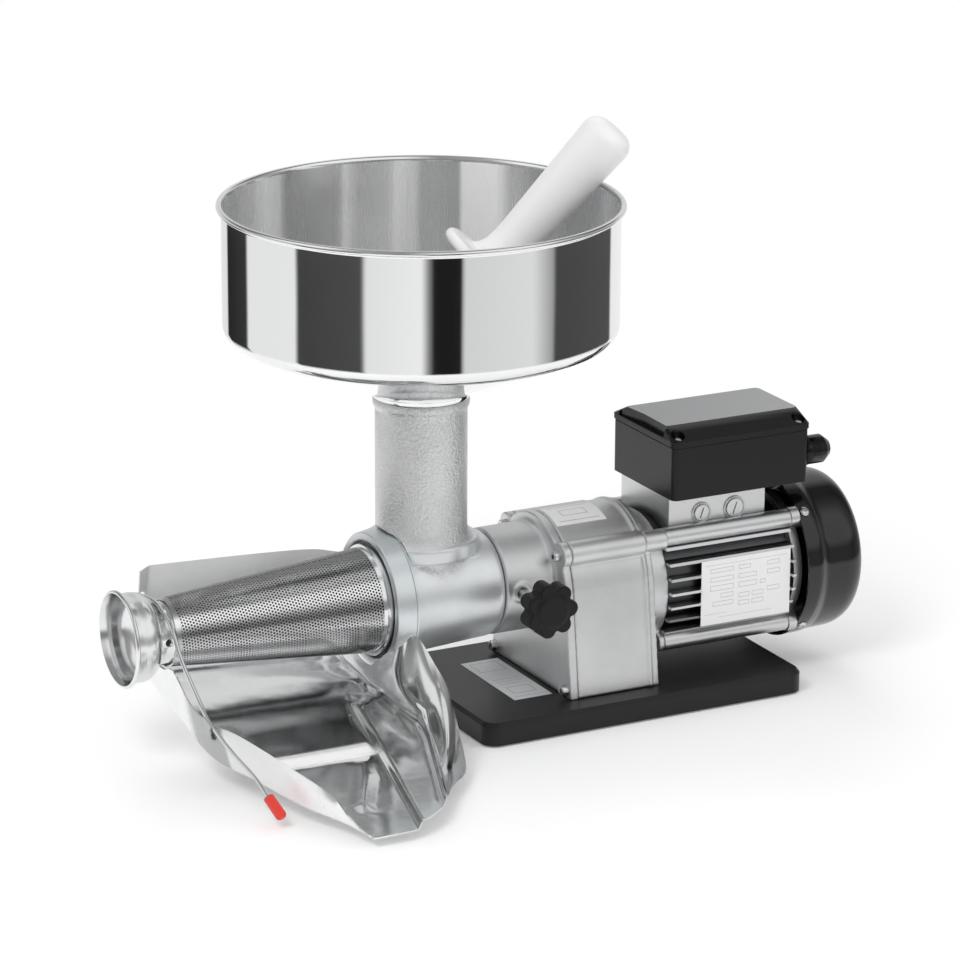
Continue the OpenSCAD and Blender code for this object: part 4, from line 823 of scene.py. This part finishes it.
def flatPiece(name, low, high, finish):
    # two matching outlines joined all round
    n = len(low)
    faces = [tuple(range(n))[::-1], tuple(range(n, 2 * n))]
    faces += [(k, (k + 1) % n, n + (k + 1) % n, n + k) for k in range(n)]
    return smoothEdges(addObject(name, meshFrom(name, list(low) + list(high), faces), finish), 40)


def makeTray():
    bendFrom, bendTo = tray["bend"]
    places = [k / 6 for k in range(5)] + steps(bendFrom, bendTo, 8) + steps(bendTo, 1.87, 20) + steps(1.87, 2.13, 26)
    places += steps(2.13, 3, 14) + steps(3, 6, 42) + [6]
    across = [acrossTray(row, places) for row in trayRows]
    columns = [eased([row[j] for row in across], tray["rowCuts"]) for j in range(len(places))]
    ni, nj = len(columns[0]), len(columns)
    points = [pressed(columns[j][i]) for i in range(ni) for j in range(nj)]
    faces = [(b, b + nj, b + nj + 1, b + 1) for i in range(ni - 1) for b in range(i * nj, i * nj + nj - 1)]
    made = addObject("juiceTray", meshFrom("juiceTray", points, faces, False), "pressedSteel")
    wall = made.modifiers.new("wall", "SOLIDIFY")
    wall.thickness, wall.offset = tray["sheet"] / 1000, -1
    applied(made)
    carried(smoothEdges(made, 60), "tray", "stainless", "drip_tray")
    # eye of the bail's pivot, and its arm
    nearX, farX = endX + 5.4, endX + 6.6
    eye = [(1.9, nearX), (tray["eye"], nearX), (tray["eye"], farX), (1.9, farX)]

    def aboutPivot(r, turn, x):
        return mm(x, pivotY + r * math.cos(turn), pivotZ + r * math.sin(turn))
    carried(turned("bailEye", eye, aboutPivot, ("pressedSteel",), 48), "tray", "stainless")
    corners = [(pivotY + 1, pivotZ - 5.4), (61, 98), (63, 112), (pivotY + 4, pivotZ + 3.6), (pivotY + 5.2, pivotZ)]
    sides = [[mm(x, y, z) for y, z in corners] for x in (endX + 5.5, endX + 6.5)]
    carried(flatPiece("bailEyeArm", *sides, "pressedSteel"), "tray", "stainless")
    # clip: a bent plate on the wall's outer face, open at the top of the wire
    turn = Matrix.Rotation(math.radians(8), 4, "Z") @ Matrix.Rotation(math.radians(29), 4, "X")
    path = [(5.6, -15.0), (1.5, -12.5), (-0.6, -8.0), (-1.6, -3.6), (-3.0, -2.4), (-3.1, 0.0), (-2.8, 1.6)]
    inner = []
    for k, (u, w) in enumerate(path):
        a, b = path[max(k - 1, 0)], path[min(k + 1, len(path) - 1)]
        run = Vector((b[0] - a[0], b[1] - a[1])).normalized()
        inner.append((u + run.y * 0.9, w - run.x * 0.9))
    ends = [[mm(*(Vector(clipAt) + turn @ Vector((u, side, w)))) for u, w in path + inner[::-1]]
            for side in (-tray["clip"] / 2, tray["clip"] / 2)]
    carried(flatPiece("wireClip", *ends, "pressedSteel"), "tray", "stainless")


makeTray()
print("tray made")


bail = {"radius": 1.6, "cuts": 8, "sides": 16, "tail": 15.4}
bailX, wireTop = collarEnd + 3.5, 24 + 0.3 + 1.6
bailPoints = [(endX + 10, pivotY, pivotZ), (endX + 3, pivotY, pivotZ), (endX - 3, pivotY - 1, pivotZ + 1.5),
              (bailX, pivotY - 8, pivotZ + 8), around(wireTop + 3, 58, bailX), around(wireTop, 90, bailX),
              around(wireTop + 1, 116, bailX), (bailX, -33, 119), (bailX + 2, -48, 96), (clipAt[0] - 2, -62, 70),
              clipAt, (clipAt[0] + 4.4, -107, 43.2), (clipAt[0] + 10, -136, 31.5), (clipAt[0] + bail["tail"], -153, 17.5)]
gripProfile = [(1.9, 0), (3.2, 0.0), (3.9, 0.5), (4.2, 1.4), (4.3, 17.2), (4.0, 18.6), (3.2, 19.6), (2.0, 20), (0, 20),
               (0, 8.2), (1.9, 8.2)]


def makeBail():
    path = [Vector(p) for p in eased(bailPoints, bail["cuts"])]
    points, faces, n = [], [], bail["sides"]
    side = Vector((0, 0, 1))
    for i, p in enumerate(path):
        t = (path[min(i + 1, len(path) - 1)] - path[max(i - 1, 0)]).normalized()
        side = (side - t * side.dot(t)).normalized()
        other = t.cross(side)
        for k in range(n):
            a = 2 * math.pi * k / n
            q = p + bail["radius"] * (math.cos(a) * side + math.sin(a) * other)
            points.append(mm(*q))
        if i:
            b = (i - 1) * n
            faces += [(b + k, b + (k + 1) % n, b + n + (k + 1) % n, b + n + k) for k in range(n)]
    faces += [tuple(range(n)), tuple((len(path) - 1) * n + k for k in range(n))]
    wire = smoothEdges(addObject("bailWire", meshFrom("bailWire", points, faces), "boltSteel"), 50)
    carried(wire, "bail", "zinc_steel", "wire_bail")
    a, b = Vector(bailPoints[-2]), Vector(bailPoints[-1])
    d = (b - a).normalized()
    u = d.cross(Vector((0, 0, 1))).normalized()
    v = d.cross(u)
    start = b - 6 * d

    def place(r, turn, h):
        return mm(*(start + d * h + r * (math.cos(turn) * u + math.sin(turn) * v)))
    grip = turned("bailGrip", gripProfile, place, ("redPlastic",), 64, 60)
    carried(grip, "bail", "red_plastic", "bail_grip")


makeBail()


castings = [("press_body", "pressCasting", "head", "cast_alloy", 1.3, 4),
            ("gearbox_housing", "gearCase", "machine", "cast_alloy", 1.2, 3),
            ("gearbox_cover", "gearCover", "machine", "cast_alloy", 1.0, 3),
            ("clamp_knob", "starKnob", "knob", "black_plastic", 0.7, 6),
            ("motor_shield", "motorShield", "machine", "cast_alloy", 1.1, 3)]
for node, name, body, slot, voxel, rounds in castings:
    carried(softened(node, name, cadFinish[node], voxel, rounds), body, slot, node)
print("castings made")
edged = [("motor_frame", "finnedBody", "cast_alloy", 0.35, 2), ("end_shield", "rearShield", "cast_alloy", 0.4, 2),
         ("base_plate", "basePlate", "black_metal", 0.9, 3), ("terminal_box", "wiringBox", "black_plastic", 0.8, 3)]
for node, name, slot, width, segments in edged:
    carried(bevelled(node, name, (cadFinish[node],), width, segments), "machine", slot, node)
lid = bevelled("terminal_lid", "wiringLid", ("boxBlack", "lidGrey"), 0.6, 3)
topZ = max(v.co.z for v in lid.data.vertices)
for face in lid.data.polygons:
    face.material_index = 1 if face.normal.z > 0.999 and face.center.z > topZ - 0.0004 else 0
carried(lid, "machine", "black_plastic", "terminal_lid")
asDrawn = [("fan_cover", "fanCowl", "machine", "gloss_black"),
           ("cable_gland", "CableGlandPiece", "machine", "black_plastic"),
           ("filter_collar", "FilterCollarPiece", "strainer", "stainless"),
           ("clamp_stud", "ClampStudPiece", "knob", "zinc_steel")]
for node, name, body, slot in asDrawn:
    carried(smoothEdges(copyOf(node, name, cadFinish[node]), 30), body, slot, node)
print("machined pieces made")


screws = {"cap": (4.3, 5.0), "lid": (3.8, 2.4), "cowl": (4.0, 2.0), "key": 2.25, "sides": 40, "capSides": 36}


def headMesh(name, profile, n, recess):
    # rings of [radius, height], then the recess's own rings, each a list of points
    bm = bmesh.new()
    turns = [2 * math.pi * k / n for k in range(n)]
    rings = [[(r * math.cos(a), r * math.sin(a), h) for a in turns] for r, h in profile] + recess(turns)
    loops = [[bm.verts.new(p) for p in ring] for ring in rings]
    for a, b in zip(loops, loops[1:]):
        for k in range(n):
            bm.faces.new((a[k], a[(k + 1) % n], b[(k + 1) % n], b[k]))
    bm.faces.new(loops[0][::-1])
    bm.faces.new(loops[-1])
    mesh = bpy.data.meshes.new(name)
    bm.to_mesh(mesh)
    bm.free()
    return mesh


def crossHead(name, radius, height):
    # a domed head with a cross recess
    n = screws["sides"]
    quarter = n // 4

    def recess(turns):
        reach = [0.5 * radius * (0.95 if k % quarter < 3 or k % quarter > quarter - 3 else 0.35) for k in range(n)]
        top = [(r * math.cos(a), r * math.sin(a), height) for r, a in zip(reach, turns)]
        return [top, [(x * 0.7, y * 0.7, height * 0.25) for x, y, z in top]]
    dome = [(1, 0), (1, 0.25), (0.93, 0.55), (0.75, 0.82), (0.5, 1)]
    return headMesh(name, [(radius * r, height * h) for r, h in dome], n, recess)


def socketHead(name, radius, height):
    def recess(turns):
        reach = [screws["key"] * math.cos(math.pi / 6) / math.cos((a % (math.pi / 3)) - math.pi / 6) for a in turns]
        return [[(r * math.cos(a), r * math.sin(a), h) for r, a in zip(reach, turns)] for h in (height, height - 3)]
    profile = [(radius, 0), (radius, height - 0.5), (radius - 0.5, height), (2.6, height)]
    return headMesh(name, profile, screws["capSides"], recess)


def screwTree():
    tree = bpy.data.node_groups.new("screwSet", "GeometryNodeTree")
    r, size = sockets(tree, {"Places": "Geometry", "Head": "Object", "Scale": "Float", "Finish": "Material"})
    head = r.node("GeometryNodeObjectInfo", {}, {"Object": size["Head"]}, "Geometry")
    aim = r.node("GeometryNodeInputNamedAttribute", {"data_type": "FLOAT_VECTOR"}, {"Name": "aim"})
    turn = r.node("FunctionNodeAlignRotationToVector", {"axis": "Z"}, {"Vector": aim})
    spread = r.node("GeometryNodeInstanceOnPoints", {},
                    {"Points": size["Places"], "Instance": head, "Rotation": turn, "Scale": size["Scale"]})
    return ended(r, spread, size["Finish"])


def makeScrews(name, shape, places, replaced):
    tree = bpy.data.node_groups.get("screwSet") or screwTree()
    head = bpy.data.objects.new(name + "Head", shape)
    mesh = bpy.data.meshes.new(name)
    mesh.from_pydata([tuple(mm(*p)) for p, aim in places], [], [])
    attribute = mesh.attributes.new("aim", "FLOAT_VECTOR", "POINT")
    for item, (p, aim) in zip(attribute.data, places):
        item.vector = aim
    made = addObject(name, mesh, "boltSteel")
    modifier = made.modifiers.new("screws", "NODES")
    modifier.node_group = tree
    setInputs(modifier, {"Head": head, "Scale": 0.001, "Finish": look["boltSteel"]})
    applied(made)
    bpy.data.objects.remove(head)
    smoothEdges(made, 40)
    return carried(made, "machine", "zinc_steel", replaced)


frontScrews = [((96.4, y, z), (-1, 0, 0)) for y, z in ((-44, 131), (44, 131), (-59, 26), (59, 26))]
makeScrews("coverScrews", socketHead("capHead", *screws["cap"]), frontScrews, "cover_screws")
lidScrews = [((256.5 + sx * 54.5, sy * 42, 208.5), (0, 0, 1)) for sx in (-1, 1) for sy in (-1, 1)]
makeScrews("lidScrews", crossHead("panHead", *screws["lid"]), lidScrews, "lid_screws")
outward = [(0, -math.sin(math.radians(a)), math.cos(math.radians(a))) for a in (45, 135, 225, 315)]
cowlScrews = [((316, 67 * y, motorZ + 67 * z), (x, y, z)) for x, y, z in outward]
makeScrews("cowlScrews", crossHead("cowlHead", *screws["cowl"]), cowlScrews, "fan_cover_screws")
print("screws made")


# the photograph's view: the camera's place in the drawing, in mm, and its axes
camera = {"at": (-1436.165, -2857.153, 1193.736), "focalPixels": 4375.227, "width": 960,
          "right": (0.88770695, -0.46038658, 0.00453427), "up": (0.13357295, 0.26695214, 0.9544081),
          "back": (-0.44060711, -0.84662905, 0.29847047)}

# low, level and high: grey levels that metal sees at those heights, along a turn about the machine from behind it
studio = {"ambient": 0.66, "floor": 0.92, "floorGlow": 0.13, "nearFloor": 0.72, "whiteFrom": (0.42, 0.80), "top": 0.30,
          "low": [(0.000, 0.82), (0.083, 0.82), (0.088, 0.02), (0.166, 0.04), (0.171, 0.88), (0.286, 0.90),
                  (0.291, 0.055), (0.405, 0.075), (0.412, 0.85), (0.500, 0.95), (0.511, 0.30), (0.520, 0.012),
                  (0.564, 0.012), (0.568, 0.72), (0.685, 0.80), (0.725, 0.36), (0.731, 0.065), (0.886, 0.085),
                  (0.892, 0.92)],
          "level": [(0.0, 0.75), (0.12, 0.70), (0.22, 0.48), (0.40, 0.30), (0.56, 0.16), (0.64, 0.50), (0.72, 0.26),
                    (0.82, 0.40), (0.90, 0.70)],
          "high": [(0.0, 0.62), (0.06, 0.62), (0.10, 0.16), (0.18, 0.20), (0.24, 0.95), (0.33, 1.0), (0.38, 0.40),
                   (0.47, 0.30), (0.53, 0.9), (0.72, 1.0), (0.77, 0.5), (0.84, 0.14), (0.90, 0.16), (0.94, 0.75)],
          "lamps": {"keyLight": ((-1.5, -1.0, 1.9), (0, 0, 0.15), (1.0, 0.8), 20),
                    "fillLight": ((1.5, -1.4, 1.2), (0, 0, 0.1), (1.2, 1.2), 8),
                    "backLight": ((0.5, 1.7, 1.5), (0, 0, 0.2), (1.4, 0.6), 9)}}


def floorLook(r):
    rays = ("Is Glossy Ray", "Is Camera Ray", "Is Transmission Ray")
    isGlossy, isCamera, isThrough = r.outputs("ShaderNodeLightPath", rays)
    x, y, z = r.axes()
    away = x.math("SQRT", x * x + y * y)
    seen = isCamera.math("MAXIMUM", isCamera, isGlossy.math("MAXIMUM", isGlossy, isThrough))
    matt = r.node("ShaderNodeBsdfDiffuse", {}, {"Color": (studio["floor"],) * 3})
    glow = r.node("ShaderNodeEmission", {}, {"Color": (1, 1, 1), "Strength": seen * studio["floorGlow"]})
    lit = r.node("ShaderNodeAddShader", {}, {0: matt, 1: glow})
    clear = r.node("ShaderNodeBsdfTransparent", {}, {"Color": (1, 1, 1)})
    plain = r.node("ShaderNodeEmission", {}, {"Color": (1, 1, 1), "Strength": 1.0})
    far = isGlossy * r.spread(away, studio["nearFloor"], studio["nearFloor"] + 0.3)
    mirrored = r.node("ShaderNodeMixShader", {}, {0: far, 1: lit, 2: clear})
    white = isCamera * r.spread(away, *studio["whiteFrom"])
    return r.node("ShaderNodeMixShader", {}, {0: white, 1: mirrored, 2: plain})


def makeWorld():
    world = bpy.data.worlds.new("studio")
    scene.world = world
    world.use_nodes = True
    world.node_tree.nodes.clear()
    r = Recipe(world.node_tree)
    x, y, z = r.axes(r.node("ShaderNodeTexCoord", {}, {}, "Generated"))
    # part of a turn about the machine, 0.5 towards the camera and growing to its right
    turn = (x.math("ARCTAN2", y, x) - math.atan2(camera["at"][1], camera["at"][0])) / (2 * math.pi) + 1.5
    turn = turn.math("FRACT", turn)
    low, level, high = [r.levels(turn, studio[key], "LINEAR") for key in ("low", "level", "high")]
    seen = r.mix(r.spread(z, -0.24, -0.19), low, level)
    seen = r.mix(r.spread(z, 0.16, 0.30), seen, high)
    seen = r.mix(r.spread(z, 0.78, 0.94), seen, (studio["top"],) * 3)
    isGlossy, isCamera = r.outputs("ShaderNodeLightPath", ("Is Glossy Ray", "Is Camera Ray"))
    plain = r.mix(isCamera, (studio["ambient"],) * 3, (1, 1, 1))
    back = r.node("ShaderNodeBackground", {}, {"Color": r.mix(isGlossy, plain, seen), "Strength": 1.0})
    r.node("ShaderNodeOutputWorld", {}, {"Surface": back})


def makeRoom():
    mesh, s = bpy.data.meshes.new("floor"), 14.0
    mesh.from_pydata([(-s, -s, 0), (s, -s, 0), (s, s, 0), (-s, s, 0)], [], [(0, 1, 2, 3)])
    floor = bpy.data.objects.new("floor", mesh)
    scene.collection.objects.link(floor)
    mesh.materials.append(material("floorLook", floorLook))
    makeWorld()
    for name, (where, aim, size, power) in studio["lamps"].items():
        data = bpy.data.lights.new(name, "AREA")
        data.shape, data.size, data.size_y, data.energy = "RECTANGLE", size[0], size[1], power
        lamp = bpy.data.objects.new(name, data)
        scene.collection.objects.link(lamp)
        facing = (Vector(aim) - Vector(where)).to_track_quat("-Z", "Y").to_matrix().to_4x4()
        lamp.matrix_world = Matrix.Translation(Vector(where)) @ facing
        lamp.visible_glossy = False


makeRoom()


def makeCamera():
    data = bpy.data.cameras.new("camera")
    data.sensor_width, data.sensor_fit = 36.0, "HORIZONTAL"
    data.lens = camera["focalPixels"] * 36.0 / camera["width"]
    data.clip_end = 60
    made = bpy.data.objects.new("camera", data)
    scene.collection.objects.link(made)
    turn = Matrix([Vector(camera[key]) for key in ("right", "up", "back")]).transposed().to_4x4()
    made.matrix_world = Matrix.Translation(mm(*camera["at"])) @ turn
    scene.camera = made


makeCamera()
scene.view_settings.view_transform = "Standard"
print("room made")
